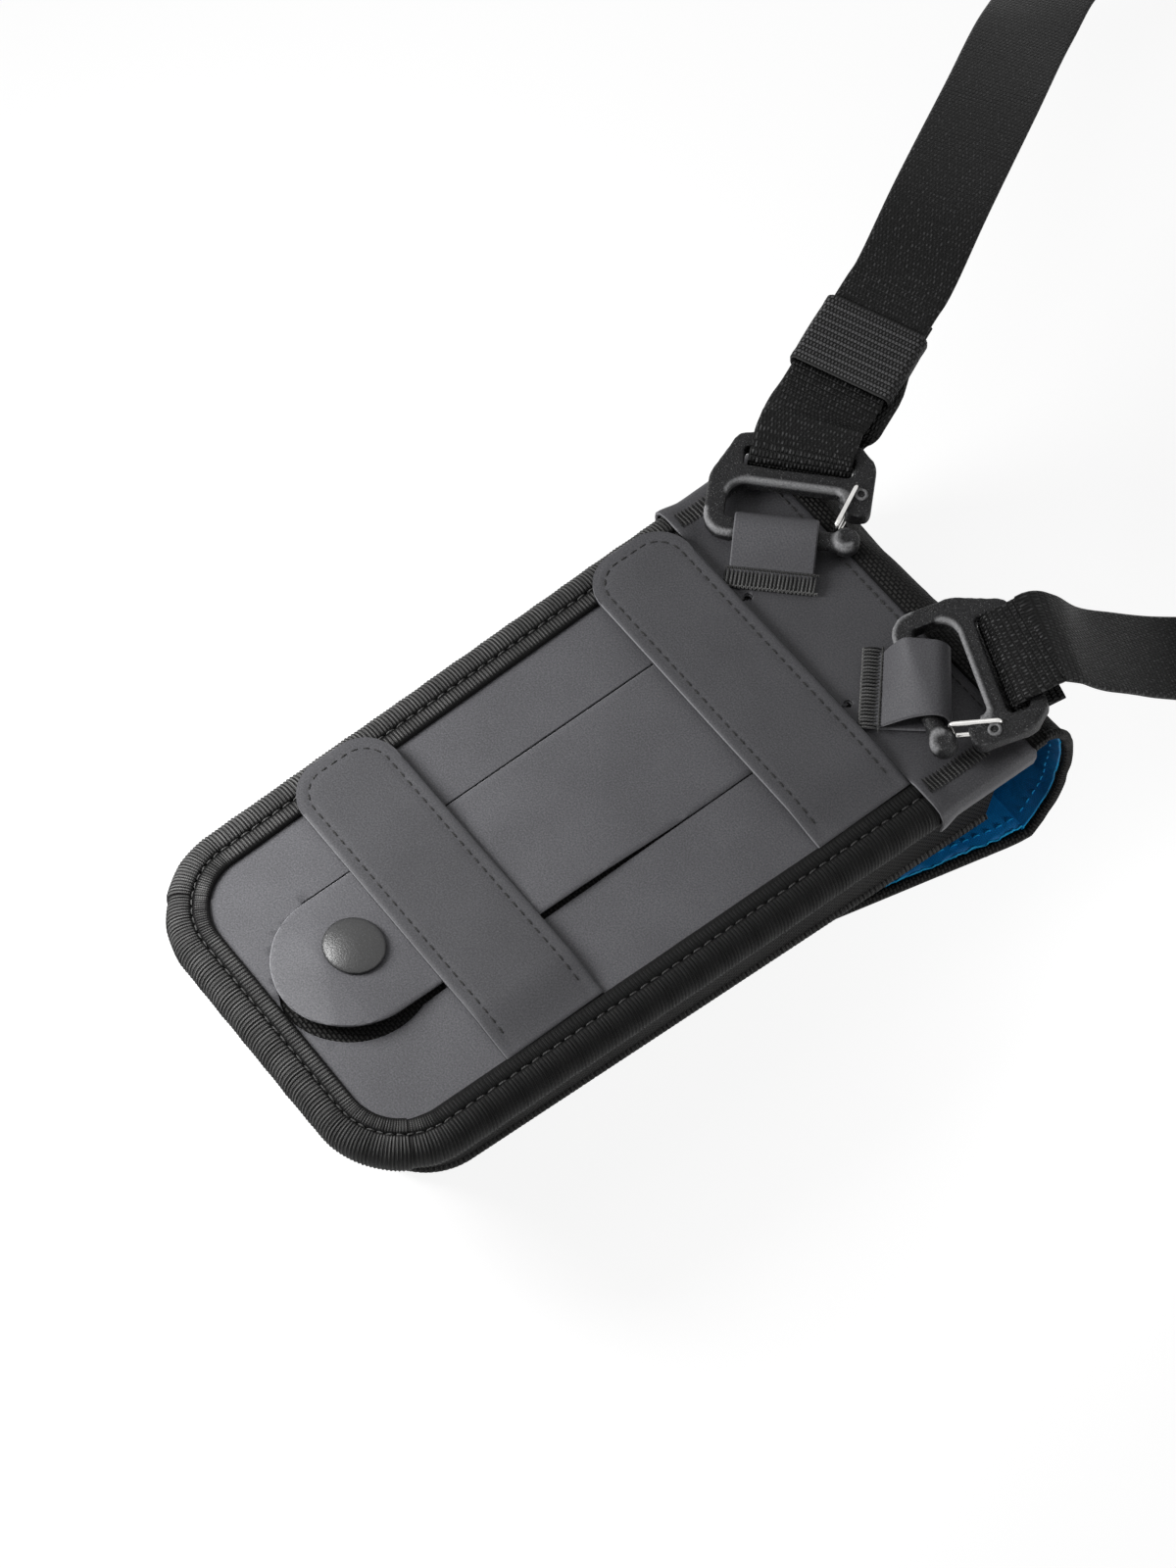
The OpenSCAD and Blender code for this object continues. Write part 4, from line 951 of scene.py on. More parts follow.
# ---- bands -----------------------------------------------------------------------------
def band(which, y, shade):
    """A band that is sewn in at the right and held by hook and loop tape at its round end."""
    body = "band_" + which
    hinge_x = half_w(y) - BINDING_W - 1.8
    root_x = half_w(y) - BINDING_W + 0.2
    end_x = 2.6 - half_w(y)
    tape_x = BINDING_W + 1.2 - half_w(y)
    half = BAND_W / 2

    def border(x, v):
        """Distance in from the band's edge at its long sides and its rounded end."""
        d = half - abs(v - y)
        cx = end_x + BAND_R
        if x < cx:
            over = max(0.0, abs(v - y) - (half - BAND_R))
            d = BAND_R - math.hypot(cx - x, over)
        return d

    def shape(x, v, h):
        mid = BAND_MID - 0.12 * bell(x + 8, 16) + 0.18 * wobble(x, v, y, 0.05)
        mid += lerp(0, -1.75, step(x, hinge_x - 12, root_x))
        mid += 0.16 * bell(x + half_w(y) - 6, 5)
        d = border(x, v)
        dip = 0.2 * bell(d - BAND_SEAM_IN, 0.55) * step(x, root_x, root_x - 2)
        crown = 0.12 * step(d, 0, 2)
        return Vector((x, v, mid + h + (crown - dip if h > 0 else 0)))

    outline = box_outline(end_x, y - half, root_x, y + half, [BAND_R, 0, 0, BAND_R], 14)
    cloth = plate(which + "_band_cloth", [outline], BAND_T, "tarpaulin", shape, cell=0.95, edge=0.2,
                  body=None, shade=shade, replaces=[body])
    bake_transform(cloth)
    seam = box_outline(hinge_x - 2.5, y - half + BAND_SEAM_IN, end_x + BAND_SEAM_IN, y + half - BAND_SEAM_IN,
                       [0, BAND_R - BAND_SEAM_IN, BAND_R - BAND_SEAM_IN, 0], 14)
    tubes(which + "_band_stitches", stitch_paths([seam], shape, BAND_T / 2, 2.9, 2.15, 0.16), 0.2, "thread",
          tone=0.15, body=body)
    corners = box_outline(tape_x, y - half + 3, tape_x + 13, y + half - 3, [1.5] * 4, 4)
    plate(which + "_band_loop_side", [corners], 0.9, "tape", layer(BACK_H + 0.45), cell=1.6,
          replaces=["band_loop_tape_" + which])
    plate(which + "_band_hook_side", [corners], 0.8, "tape", lambda x, v, h: Vector((x, v, 53.6 + h)),
          cell=1.6, body=body, replaces=["band_hook_tape_" + which])


# The bands are painted darker than the panel, a painted shade: 0.31 on the lower band, 0.22 on the upper.
band("lower", -45, 0.31)
band("upper", 45.7, 0.22)
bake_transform(tongue)


# ---- snap ------------------------------------------------------------------------------
CAP_SECTION = (  # how far in from the cap's rim, height
    (CAP_R - 1.4, 0.0), (0.75, 0.0), (0.35, 0.08), (0.08, 0.32), (0, 0.62), (0.06, 0.9), (0.3, 1.18),
    (0.7, 1.44), (1.2, 1.68), (1.9, 1.96), (2.8, 2.26), (3.8, 2.52), (5.0, 2.75), (6.2, 2.9), (7.0, 2.96),
    (CAP_R - 0.05, 2.98))


def frame_at(at, turn=0.0, pitch=0.0):
    return (Matrix.Translation(Vector(at)) @ Matrix.Rotation(math.radians(turn), 4, "Z")
            @ Matrix.Rotation(math.radians(pitch), 4, "X"))


def spun(name, profile, place, finish, n, **kw):
    """A turned solid from its points of radius and height."""
    rings = [[place @ Vector((r * math.cos(a), r * math.sin(a), z)) for a in around(n)] for r, z in profile]
    return skin(name, rings, finish, **kw)


snap_run = (HINGE_Y - SNAP_Y) / math.cos(math.radians(TONGUE_TILT))
cap_place = frame_at((0, HINGE_Y, HINGE_Z), 0, -TONGUE_TILT) @ frame_at((SNAP_X, -snap_run, TARP_T / 2))
spun("snap_cap_dome", [(CAP_R - inset, z) for inset, z in CAP_SECTION], cap_place, "snap_black", 64,
     body="tongue_tip", replaces=["snap_cap"], sharp=60)
for name in ("snap_socket", "snap_stud", "snap_rivet"):
    snap_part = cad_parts[name].data
    snap_part.materials.clear()
    snap_part.materials.append(FINISHES["snap_steel"])


# ---- gussets and pocket ----------------------------------------------------------------
def gusset_grid():
    """From the flange under the back down to the pocket's front, sagging inwards."""
    n = 260
    upper = resample(open_path(back_outline(7.0, TOP_Y - 1.1, 30)), count=n)
    lap = resample(open_path(back_outline(2.4, TOP_Y - 1.1, 30)), count=n)
    lower = resample(open_path(front_outline(0.6, FRONT_TOP_Y, 30)), count=n)
    rows = [raised(lap, 45.75), raised([p.lerp(q, 0.7) for p, q in zip(lap, upper)], 45.7),
            raised(upper, 44.9)]
    total = lengths(raised(upper))
    for j in range(1, 19):
        s = j / 18
        arch = math.sin(math.pi * s)
        row = []
        for i in range(n + 1):
            d = heading(upper, i)
            fold = 0.9 * wobble(total[i], 14 * s, 5.7, 0.055) * arch
            fold += 0.35 * wobble(total[i], 6 * s, 9.2, 0.2) * arch
            p = upper[i].lerp(lower[i], s) + Vector((-d.y, d.x)) * (1.6 * arch ** 1.2 + fold)
            row.append(Vector((p.x, p.y, lerp(44.0, 4.8, s))))
        rows.append(row)
    return rows


thick("gusset_cloth", gusset_grid(), WOVEN_T, "woven",
      replaces=["gusset_left", "gusset_right", "gusset_bottom"])


def pocket_shape(x, y, h):
    return Vector((x, y, FRONT_Z + WOVEN_T / 2 + h + max(0, 0.35 * wobble(x, y, 8.8, 0.04))))


plate("pocket_front_cloth", [front_outline(0)], WOVEN_T, "woven", pocket_shape, cell=4,
      replaces=["pocket_front"])
plate("pocket_lining_cloth", [front_outline(1.5, FRONT_TOP_Y - 3)], 0.6, "lining_blue",
      lambda x, y, h: pocket_shape(x, y, h) + Z_AXIS, cell=5, edge=0.15, replaces=["pocket_lining"])
pocket_rim = resample(open_path(front_outline(0.2, FRONT_TOP_Y, 30)), count=900)
# With lit, the rib heights become the rim attribute, which the binding finish paints as rib highlights and
# dark valleys, painted light and shade.
ribbed_tube("pocket_edge_tape", raised(pocket_rim, FRONT_Z + 1), 1.25, 12, 1.2, 0.7, 0.12, 0.65, "binding",
            lit=True)
straight_tape("mouth_binding_tape", FRONT_TOP_W / 2 - 2.2, 60,
              ((85.2, 5.9), (86.4, 6.0), (87.6, 5.95), (88.3, 5.4), (88.35, 4.8), (88.2, 4.4)), 0.8,
              "mouth_binding")
for name, z, body, node_name in (("pocket_loop_side", 3.65, "root", "pocket_loop_tape"),
                                 ("flap_hook_side", 2.45, "flap_front", "flap_hook_tape")):
    plate(name, [box_outline(-20, -11, 20, 19, [2] * 4, 5)], 0.9, "tape",
          lambda x, y, h, mid=z: Vector((x, y, mid + h)), cell=2, body=body, replaces=[node_name])


# ---- flap ------------------------------------------------------------------------------
FLAP_X = half_w(TOP_Y) - 0.5
FLAP_SIDE = [(89.7, 52.55), (91.4, 52.7), (93.2, 52.55), (95.0, 51.7), (96.9, 50.2), (99.2, 47.4),
             (101.6, 42.8), (103.0, 37.2), (103.6, 31.0), (103.5, 25.0), (102.7, 18.8), (100.9, 12.8),
             (98.2, 7.6), (95.9, 4.2), (94.6, 2.2)]
SIDES = ((0, -1, "_left"), (-1, 1, "_right"))


def flap_top(name, off, half, t, finish, node_name):
    """The upper part of the flap, which falls from the top seam to the surface that the pouch lies on."""
    side = resample([Vector((0, y, z)) for y, z in smooth(FLAP_SIDE, 4)], count=56)
    out_of = [Vector((0, -d.z, d.y)) for d in (heading(side, i) for i in range(len(side)))]
    side = [p + off * n for p, n in zip(side, out_of)]
    cols = 72
    grid = []
    for i, p in enumerate(side):
        share = i / (len(side) - 1)
        free = step(share, 0.08, 0.3) * step(share, 1.0, 0.85)
        pressed = step(share, 0.05, 0.11) * step(share, 0.3, 0.2)
        d = heading(side, i)
        n = Vector((0, -d.z, d.y)).normalized()
        row = []
        for j in range(cols + 1):
            u = -1 + 2 * j / cols
            x = half * u
            out = free * (0.8 * wobble(x, 40 * share, 2.2, 0.07)
                          + 0.5 * wobble(x, 60 * share, 4.2, 0.2) * abs(u) ** 3)
            out += (3.4 * bell(x - 17, 12) - 1.1 * (1 - u * u)) * free
            if share < 0.55:
                out = lerp(min(out, 0.2 - 1.0 * free), out, step(x, 2, 12))
            out -= 1.1 * bell(x + 22, 8) * pressed
            edge_in = 0.35 * wobble(share * 40, u, 6.6, 0.22) * free
            row.append(Vector((x + edge_in * u, p.y, p.z)) + n * out)
        grid.append(row)
    piece = thick(name, grid, t, finish, body=None, replaces=[node_name])
    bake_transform(piece)
    return grid


def hem(name, rows, radius):
    """A rolled hem along both sides of a flap."""
    for side, sign, end in SIDES:
        path = [p + Vector((-0.9 * sign, 0, 0)) for p in resample([row[side] for row in rows], pitch=0.5)]
        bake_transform(ribbed_tube(name + end, path, radius, 10, 1.1, 1, 0.10, 0.6, "woven", body=None))


def lining_edge(name, rows):
    """The raw, waving edge of the lining along both sides, and the stitches beside it."""
    pitch, stitch_pitch, thread_in = 0.45, 3.2, 3.0
    for side, sign, end in SIDES:
        line = resample([row[side] for row in rows], pitch=pitch)
        total = lengths(line)
        path = []
        for at, q in zip(total, line):
            wave = 0.55 * wobble(at, sign, 4.4, 0.42) + 0.3 * wobble(at, sign, 9.1, 1.1)
            lift = 0.4 * wobble(at, sign, 2.7, 0.6)
            path.append(q + Vector((sign * (wave - 0.25), 0.3 * lift, lift)))
        edge = skin(name + "_edge" + end, tube_rings(path, 0.32, 8), "lining_blue",
                    [[(k * 0.25, at) for k in range(8)] for at in total], ribs=[[1.0] * 8] * len(path),
                    sharp=80, body=None)
        stitches = []
        for k in range(int(total[-1] / stitch_pitch)):
            first = int((k * stitch_pitch + 0.6) / pitch)
            seam = [line[min(first + j, len(line) - 1)] + Vector((-sign * thread_in, 0, 0)) for j in range(5)]
            out = (seam[-1] - seam[0]).cross(X_AXIS).normalized()
            out = out if out.z > out.y else -out
            stitches.append([q + out * h for q, h in zip(seam, (0.2, 0.62, 0.72, 0.62, 0.2))])
        threads = tubes(name + "_stitches" + end, stitches, 0.2, "lining_blue", tone=0.75, body=None)
        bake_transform(edge)
        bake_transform(threads)


def flap_front_half(y):
    return lerp(FLAP_LOW_HALF, FLAP_X, (y - FLAP_LOW_Y) / 113.5)


def flap_front(name, z, t, inset, finish, node_name, puff, rise, rise_from):
    """The part of the flap under the pouch, which rises at the top to meet the upper part."""
    def shape(x, y, h):
        lift = puff * max(0.0, wobble(x, y, 7.1, 0.05)) * step(y, 93, 80)
        return Vector((x, y, z + t / 2 + h + lift + rise * step(y, rise_from, 95)))

    wide, low, r = flap_front_half(FLAP_TOP) - inset, FLAP_LOW_HALF - inset, FLAP_R - inset
    low_y = FLAP_LOW_Y + inset
    outline = rounded([(wide, FLAP_TOP), (-wide, FLAP_TOP), (-low, low_y), (low, low_y)], [0, 0, r, r])
    piece = plate(name, [outline], t, finish, shape, body=None, replaces=[node_name])
    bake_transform(piece)


def front_sides(top, low, count, inset, z, rise, rise_from):
    """Points at the left and right of the flap's lower part, from its top down."""
    rows = [lerp(top, low, k / count) for k in range(count + 1)]
    return [[Vector((s * (flap_front_half(y) - inset), y, z + rise * step(y, rise_from, 95)))
             for s in (-1, 1)]
            for y in rows]


flap_grid = flap_top("flap_top_outer_cloth", 0.3, FLAP_X, WOVEN_T, "woven", "flap_top_outer")
lining_grid = flap_top("flap_top_lining_cloth", -0.85, FLAP_X - 2.4, THIN_T, "lining_blue", "flap_top_lining")
hem("flap_top_hem", flap_grid[3:], 1.25)
lining_edge("flap_top_lining", lining_grid[8:])
flap_front("flap_front_outer_cloth", 0.1, 1.1, 0, "woven", "flap_front_outer", 0.0, 1.2, 90)
flap_front("flap_front_lining_cloth", 1.25, THIN_T, 2.6, "lining_blue", "flap_front_lining", 0.5, 1.9, 88)
hem("flap_front_hem", front_sides(94.4, -6, 40, 0.2, 1.25, 1.2, 90), 1.2)
lining_edge("flap_front_lining", front_sides(94.0, 4, 60, 2.6, 1.75, 1.9, 88))


# ---- hooks -----------------------------------------------------------------------------
HALF_T = HOOK_T / 2
NOSE, NOSE_R, PIVOT = (14.2, 0.6), 3.4, (16.3, 13)
GATE_START, GATE_END = (14.9, 15.0), (11.35, 3.35)
SLOT_TOP = SLOT_Y + SLOT_H
HOOK_POINTS = [(-21.3, -2.4), (-13.0, -2.4), (-13.0, 2.4), (-16.3, 2.4), (-16.3, 13), (13, 13), (13, 7),
               (19.2, 7), (19.2, 22), (14.5, 27), (-15.5, 27), (-21.3, 14)]
HOOK_RADII = [6, 1.2, 1.2, 1.6, 5.0, 2.2, .8, 2.5, 5, 3, 4, 5]
NOSE_SECTION = [(0.2, -HALF_T), (NOSE_R - 0.8, -HALF_T), (NOSE_R, 0.8 - HALF_T), (NOSE_R, HALF_T - 0.8),
                (NOSE_R - 0.8, HALF_T), (0.2, HALF_T)]
PIVOT_SECTION = [(0.2, -HALF_T - 0.15), (2.3, -HALF_T - 0.15), (2.7, 0.3 - HALF_T), (2.7, HALF_T - 0.3),
                 (2.3, HALF_T + 0.15), (0.2, HALF_T + 0.15)]
RIVET_SECTION = [(0.02, -0.25), (0.75, -0.25), (0.85, 0.3), (1.05, 0.46), (1.35, 0.5), (1.65, 0.38),
                 (1.8, 0.1), (1.85, -0.3)]


def merged(name, parts, finish, body):
    """Joins pieces into one mesh and takes the parts out of the scene."""
    joined = bmesh.new()
    for part in parts:
        joined.from_mesh(part.data)
        bpy.data.objects.remove(part)
    mesh = bpy.data.meshes.new(name)
    joined.to_mesh(mesh)
    joined.free()
    return add_piece(name, mesh, finish, body, [body])


def fuse(piece):
    """Melts joined solids into one casting with soft edges."""
    remesh = piece.modifiers.new("fuse", "REMESH")
    remesh.mode = "VOXEL"
    remesh.voxel_size = 0.42 * MM
    relax = piece.modifiers.new("soften", "SMOOTH")
    relax.factor = 0.5
    relax.iterations = 3
    bpy.context.view_layer.update()
    mesh = bpy.data.meshes.new_from_object(piece.evaluated_get(bpy.context.evaluated_depsgraph_get()))
    old = piece.data
    piece.modifiers.clear()
    piece.data = mesh
    bpy.data.meshes.remove(old)


def hook(spec):
    body = "hook_" + spec.side
    place = frame_at(spec.at, spec.turn, spec.pitch)
    outline = rounded(HOOK_POINTS, HOOK_RADII)
    inner = resample(raised(rounded(HOOK_POINTS[2:7], [0, 1.6, 5.0, 2.2, 0])), pitch=0.5)
    inner = [q for q in inner if q.y > 9.5]
    slot = box_outline(-13.5, SLOT_Y, 13.5, SLOT_TOP, [1.2] * 4, 5)
    bar = [vec(lerp(-17.5, 13.5, k / 30), 0) for k in range(31)]
    parts = [plate("part", [outline, slot], HOOK_T, "hook_metal", vec, cell=1.2, edge=0.75),
             skin("part", tube_rings(bar, BAR_D / 2, 20), "hook_metal"),
             spun("part", NOSE_SECTION, frame_at(vec(*NOSE)), "hook_metal", 32),
             spun("part", PIVOT_SECTION, frame_at(vec(*PIVOT)), "hook_metal", 32)]
    beading = [q + (Y_AXIS if q.y > 12.9 else Vector((-0.7, 0.7, 0))) for q in inner]
    cup = [vec(NOSE[0] + 2.35 * math.cos(a), NOSE[1] + 2.35 * math.sin(a)) for a in around(40)
           + [2 * math.pi]]
    for line, depth, radius, sides in ((beading, 0.75, 1.1, 12), (cup, 0.05, 0.5, 10)):
        for face in (1, -1):
            raised_line = [q + Vector((0, 0, face * (HALF_T - depth))) for q in line]
            parts.append(skin("part", tube_rings(raised_line, radius, sides), "hook_metal"))
    piece = merged(body + "_casting", parts, "hook_metal", body)
    fuse(piece)
    nose_arc = [vec(NOSE[0] + 2.5 * math.cos(a), NOSE[1] + 2.5 * math.sin(a))
                for a in (math.radians(d) for d in range(170, 300, 8))]
    wear_and_sheen_line = inner + resample(raised(outline[:12]), pitch=0.5) + nose_arc
    # Points near the outlines and the nose cup get a rim value, painted pale by the finish: worn coating and
    # a painted highlight.
    values = piece.data.attributes.new("rim", "FLOAT", "POINT")
    for v in piece.data.vertices:
        at = v.co / MM
        near = min((at.x - q.x) ** 2 + (at.y - q.y) ** 2 for q in wear_and_sheen_line) ** 0.5
        values.data[v.index].value = step(near, 1.5, 0.5) * step(at.z, HALF_T - 2.2, HALF_T - 0.9)
    piece.data.transform(Matrix.Translation(place.translation * MM) @ place.to_3x3().to_4x4())
    piece.data.shade_smooth()
    for side, turn in (("front", 0), ("back", 180)):
        at = place @ frame_at(vec(*PIVOT), 0, turn) @ frame_at((0, 0, HALF_T + 0.1))
        # The rivet's raised ring gets rim 0.8, painted pale as worn metal and a painted highlight.
        spun(f"{body}_rivet_{side}", RIVET_SECTION, at, "hook_metal", 28, body=body,
             ribs=[[0.8 if 0.9 <= r <= 1.7 else 0.0] * 28 for r, z in RIVET_SECTION])
    gate(spec, place)


def gate(spec, place):
    """A U of wire with a leg on each face of the hook."""
    z = HALF_T + WIRE_D / 2 + 0.3
    reach = math.dist(GATE_END, GATE_START)
    turn = math.atan2(GATE_END[1] - GATE_START[1], GATE_END[0] - GATE_START[0]) - math.pi / 2
    u = rounded([(0.6, 0), (z, 0), (z, reach), (-z, reach), (-z, 1.6), (-0.6, 1.6)], [0, 1, 1, 1, 1, 0], 7)
    at = (place @ frame_at(vec(*GATE_START)) @ Matrix.Rotation(turn, 4, "Z")
          @ Matrix.Rotation(-math.pi / 2, 4, "Y"))
    wire = [at @ p for p in resample(raised(u), pitch=0.4)]
    name = "gate_" + spec.side
    skin(name + "_wire", tube_rings(wire, WIRE_D / 2, 12), "wire_steel", body=name, replaces=[name])


hook(LEFT)
hook(RIGHT)


# ---- corner loops ----------------------------------------------------------------------
ZIGZAG_ARCH = ((0, 0, 0), (0, 0.15, 1.1), (0.3, 1.3, 1.75), (0.7, 3.2, 1.8), (1, 4.5, 1.25))


def corner_loop(spec):
    """A strap from the back up around the hook's bar and down again, held by a bartack."""
    crest_skew, cols, spans = 0.15, 14, 64
    base = BACK_H + TARP_T
    bar_h = spec.at[2] - base
    skew = math.tan(math.radians(spec.turn - spec.loop_turn))
    centre = (spec.at[0] + LOOP_OFFSET * math.cos(math.radians(spec.turn)),
              spec.at[1] + LOOP_OFFSET * math.sin(math.radians(spec.turn)), base)
    place = frame_at(centre, spec.loop_turn)
    r = BAR_D / 2 + 1.2 + TARP_T / 2
    tab, high = -LOOP_REACH, bar_h + r
    columns = []
    for j in range(cols + 1):
        x = lerp(-LOOP_W / 2, LOOP_W / 2, j / cols)
        bar = x * skew
        crest = bar * crest_skew + abs(skew) * LOOP_W / 2 * (1 - crest_skew)
        line = [(tab - TACK_W + 0.9, 0.45), (tab, 0.45), (crest - 3, max(0.45, bar_h - r - 0.2))]
        line += arc(crest, bar_h, r, -70, 90, 20)
        line += [(lerp(crest, bar, k / 4), high + 0.02 * k) for k in range(1, 4) if crest - bar > 0.5]
        line += [(lerp(bar, tab + 0.6, k / 14), lerp(high, 1.3, (k / 14) ** 1.55)) for k in range(14)]
        line += [(tab, 1.3), (tab - TACK_W + 1.0, 1.3)]
        columns.append([place @ p for p in resample([Vector((x, *p)) for p in line], count=spans)])
    thick(f"loop_{spec.side}_strap", [list(row) for row in zip(*columns)], TARP_T, "tarpaulin", rim_light=0.3,
          replaces=["loop_" + spec.side])
    loop_bartack(spec, place, tab - TACK_W)


def loop_bartack(spec, place, low_y):
    """Dense zigzag between two rows of short cross stitches."""
    turn = place.to_3x3()
    along, across = turn @ X_AXIS, turn @ Y_AXIS
    count, pitch = 23, 0.97
    start = place @ Vector((-count * pitch / 2, low_y, 0.35))
    paths, tones = [], []
    for k in range(2 * count):
        above = k % 2
        low = start + along * (k * pitch / 2 + random.uniform(-0.06, 0.06))
        low += Z_AXIS * (0.0 if above else -0.3)
        high = low + along * ((0.35 if above else -0.1) * pitch)
        paths.append([low.lerp(high, share) + across * y + Z_AXIS * z for share, y, z in ZIGZAG_ARCH])
        # One black yarn: the upper strokes are painted lighter and the lower strokes black, a painted
        # highlight and painted shade.
        tones.append(random.uniform(0.42, 0.75) if above else 0.0)
    for k in range(count + 1):
        # The near row of cross stitches is painted lightest, a painted highlight; the far row darker.
        for row, rise, tone in ((-0.2, 0.55, 1.0), (4.4, 1.55, 0.4)):
            a = start + along * ((k - 0.1) * pitch) + across * row + Z_AXIS * rise
            paths.append([a + along * (x * pitch) + across * y + Z_AXIS * z
                          for x, y, z in ((0, 0, -0.25), (0, 0.3, 0.45), (0.5, 0.3, 0.5), (0.75, 0, -0.2))])
            tones.append(tone)
    tubes(f"loop_{spec.side}_bartack_threads", paths, 0.27, "thread", tones=tones,
          replaces=["loop_bartack_" + spec.side])


corner_loop(LEFT)
corner_loop(RIGHT)


# ---- strap -----------------------------------------------------------------------------
MID_R = HALF_T + 1.1 + WEBBING_T / 2
ASKEW_Y, END_L, WRAP_BEND = SLOT_Y + SLOT_H * 0.7, 8.7, 2 + SLOT_H * 0.3
BUNDLE_AT, BUNDLE_TURN = (-35, 260), 137.4
FOLD_RUNS, FOLD_L, FOLD_PITCH, FOLD_STEPS = 9, 77, 2.4, 12
STAND_Z = 1.1 + WEBBING_W / 2
KEEPER_TURN, KEEPER_PITCH, KEEPER_L, KEEPER_FROM = 22, 5, 19.6, 9
LAYER_H = WEBBING_T / 2 + 0.3
SELVEDGE = 0.13
BUNDLE = frame_at((*BUNDLE_AT, STAND_Z), BUNDLE_TURN)
LEFT_ROUTE = [(-77, 170.5, 65, 0), (-97, 205, 57, 0), (-116, 236, 45, 0), (-129, 262, 32, 20),
              (-129, 289, 19, 62), (-117, 309, STAND_Z, 88), (-98, 311, STAND_Z, 90)]
RIGHT_ROUTE = [(40.4, 109, 66.4, 0), (43.1, 116, 58, 0), (46.1, 126.9, 47.5, 0), (50.5, 141, 36, 0),
               (55, 152.5, 28, -10), (61, 166, 20, -42), (64, 185, STAND_Z, -80), (61, 204, STAND_Z, -90),
               (49, 221, STAND_Z, -90), (28, 233, STAND_Z, -90)]


def strap_frames(points, first=None, last=None):
    """Place, side and face of the strap at each point, which has the roll in its fourth value."""
    path = [Vector(q[:3]) for q in points]
    out = []
    for i, p in enumerate(path):
        along = heading(path, i)
        if first and i == 0:
            along = first.normalized()
        if last and i == len(path) - 1:
            along = last.normalized()
        flat = Vector((along.y, -along.x, 0)).normalized()
        up = flat.cross(along).normalized()
        roll = math.radians(points[i][3])
        out.append((p, flat * math.cos(roll) + up * math.sin(roll), up * math.cos(roll)
                    - flat * math.sin(roll)))
    return out


def even_frames(frames, pitch):
    """The same strap with its frames at an even pitch."""
    total = lengths([f[0] for f in frames])
    out = []
    for k, t in even_places(total, max(2, round(total[-1] / pitch))):
        p, side, face = (a.lerp(b, t) for a, b in zip(frames[k], frames[k + 1]))
        out.append((p, side.normalized(), face.normalized()))
    return out


def strap(name, frames, pitch=0.72, **kw):
    """Webbing along its frames, a little wider at its woven edges."""
    frames = even_frames(frames, pitch)
    half, high, low = WEBBING_W / 2, WEBBING_T / 2, 0.3 * WEBBING_T
    across = [lerp(-half + 2.0, half - 2.0, k / 6) for k in range(7)]
    left = [(-half, 0.0), (-half + 0.18, low), (-half + 0.6, high)]
    right = [(half - 0.6, high), (half - 0.18, low), (half, 0.0), (half - 0.18, -low), (half - 0.6, -high)]
    ring = (left + [(u, high) for u in across] + right + [(-u, -high) for u in across]
            + [(-half + 0.6, -high), (-half + 0.18, -low)])
    total = lengths([f[0] for f in frames])
    rings = [[p + side * (u + math.copysign(SELVEDGE if abs(u) > half - 0.3 else 0, u)) + face * h
              for u, h in ring] for p, side, face in frames]
    uvs = [[(u if h >= 0 else WEBBING_W + 4 - u, at) for u, h in ring] for at in total]
    note_cut(name, WEBBING_W, total[-1], WEBBING_W * total[-1])
    return skin(name, rings, "webbing", uvs, sharp=62, **kw)


def on_hook(spec, v):
    return frame_at((0, 0, 0), spec.turn, spec.pitch) @ Vector(v)


def end_dir(spec):
    a = math.radians(spec.askew)
    return on_hook(spec, (math.sin(a), math.cos(a), 0))


def end_at(spec, height):
    return Vector(spec.at) + on_hook(spec, (0, ASKEW_Y, height)) + (END_L + 0.3) * end_dir(spec)


def wrap_frames(spec):
    """From the lower layer around the hook's top bar to the upper layer."""
    hook_place = frame_at(spec.at, spec.turn, spec.pitch)
    place = hook_place @ frame_at((0, ASKEW_Y, 0), -spec.askew)
    turn, square = place.to_3x3(), hook_place.to_3x3() @ X_AXIS
    profile = [(END_L, -MID_R, -Z_AXIS, 0.0)]
    for k in range(25):
        angle = math.radians(270 - 180 * k / 24)
        n = Vector((0, math.cos(angle), math.sin(angle)))
        slack = max(0.0, -n.y)
        under = max(0.0, math.cos(angle - math.radians(215))) ** 2 * min(1.0, 3 * slack)
        profile.append((WRAP_BEND + MID_R * n.y - slack - 1.3 * under, MID_R * n.z, n, slack))
    profile.append((END_L, MID_R, Z_AXIS, 0.0))
    return [(place @ Vector((math.copysign(0.7 * slack, spec.askew), y, z)),
             (turn @ X_AXIS).lerp(square, 0.85 * slack), turn @ n) for y, z, n, slack in profile]


def fold_line():
    """The folded webbing seen from above, back and forth beside itself."""
    out = []
    r = FOLD_PITCH / 2
    for i in range(FOLD_RUNS):
        x = (i - (FOLD_RUNS - 1) / 2) * FOLD_PITCH
        s = 1 if i % 2 == 0 else -1
        out += [(s * FOLD_L * (k / 8 - 0.5), x) for k in range(9)]
        if i < FOLD_RUNS - 1:
            turns = [math.pi * k / FOLD_STEPS for k in range(1, FOLD_STEPS)]
            out += [(s * (FOLD_L / 2 + r * math.sin(a)), x + r - r * math.cos(a)) for a in turns]
    return [tuple(BUNDLE @ vec(*p)) for p in out]


folds = fold_line()
bundle_dir = BUNDLE.to_3x3() @ X_AXIS
left_top, left_low, right_top = end_at(LEFT, MID_R), end_at(LEFT, -MID_R), end_at(RIGHT, MID_R)
keeper_way = LEFT._replace(turn=(LEFT.turn - LEFT.askew + KEEPER_TURN) / 2, pitch=KEEPER_PITCH)
KEEPER = frame_at((left_top + left_low) / 2 + on_hook(keeper_way, (0, 6.8, 0)), KEEPER_TURN, KEEPER_PITCH)


def in_keeper(side, *rows):
    """Points of the strap's two layers, which side tells apart, from their Y and height in the keeper."""
    return [(*(KEEPER @ Vector((0, y, side * height))), 0) for y, height in rows]


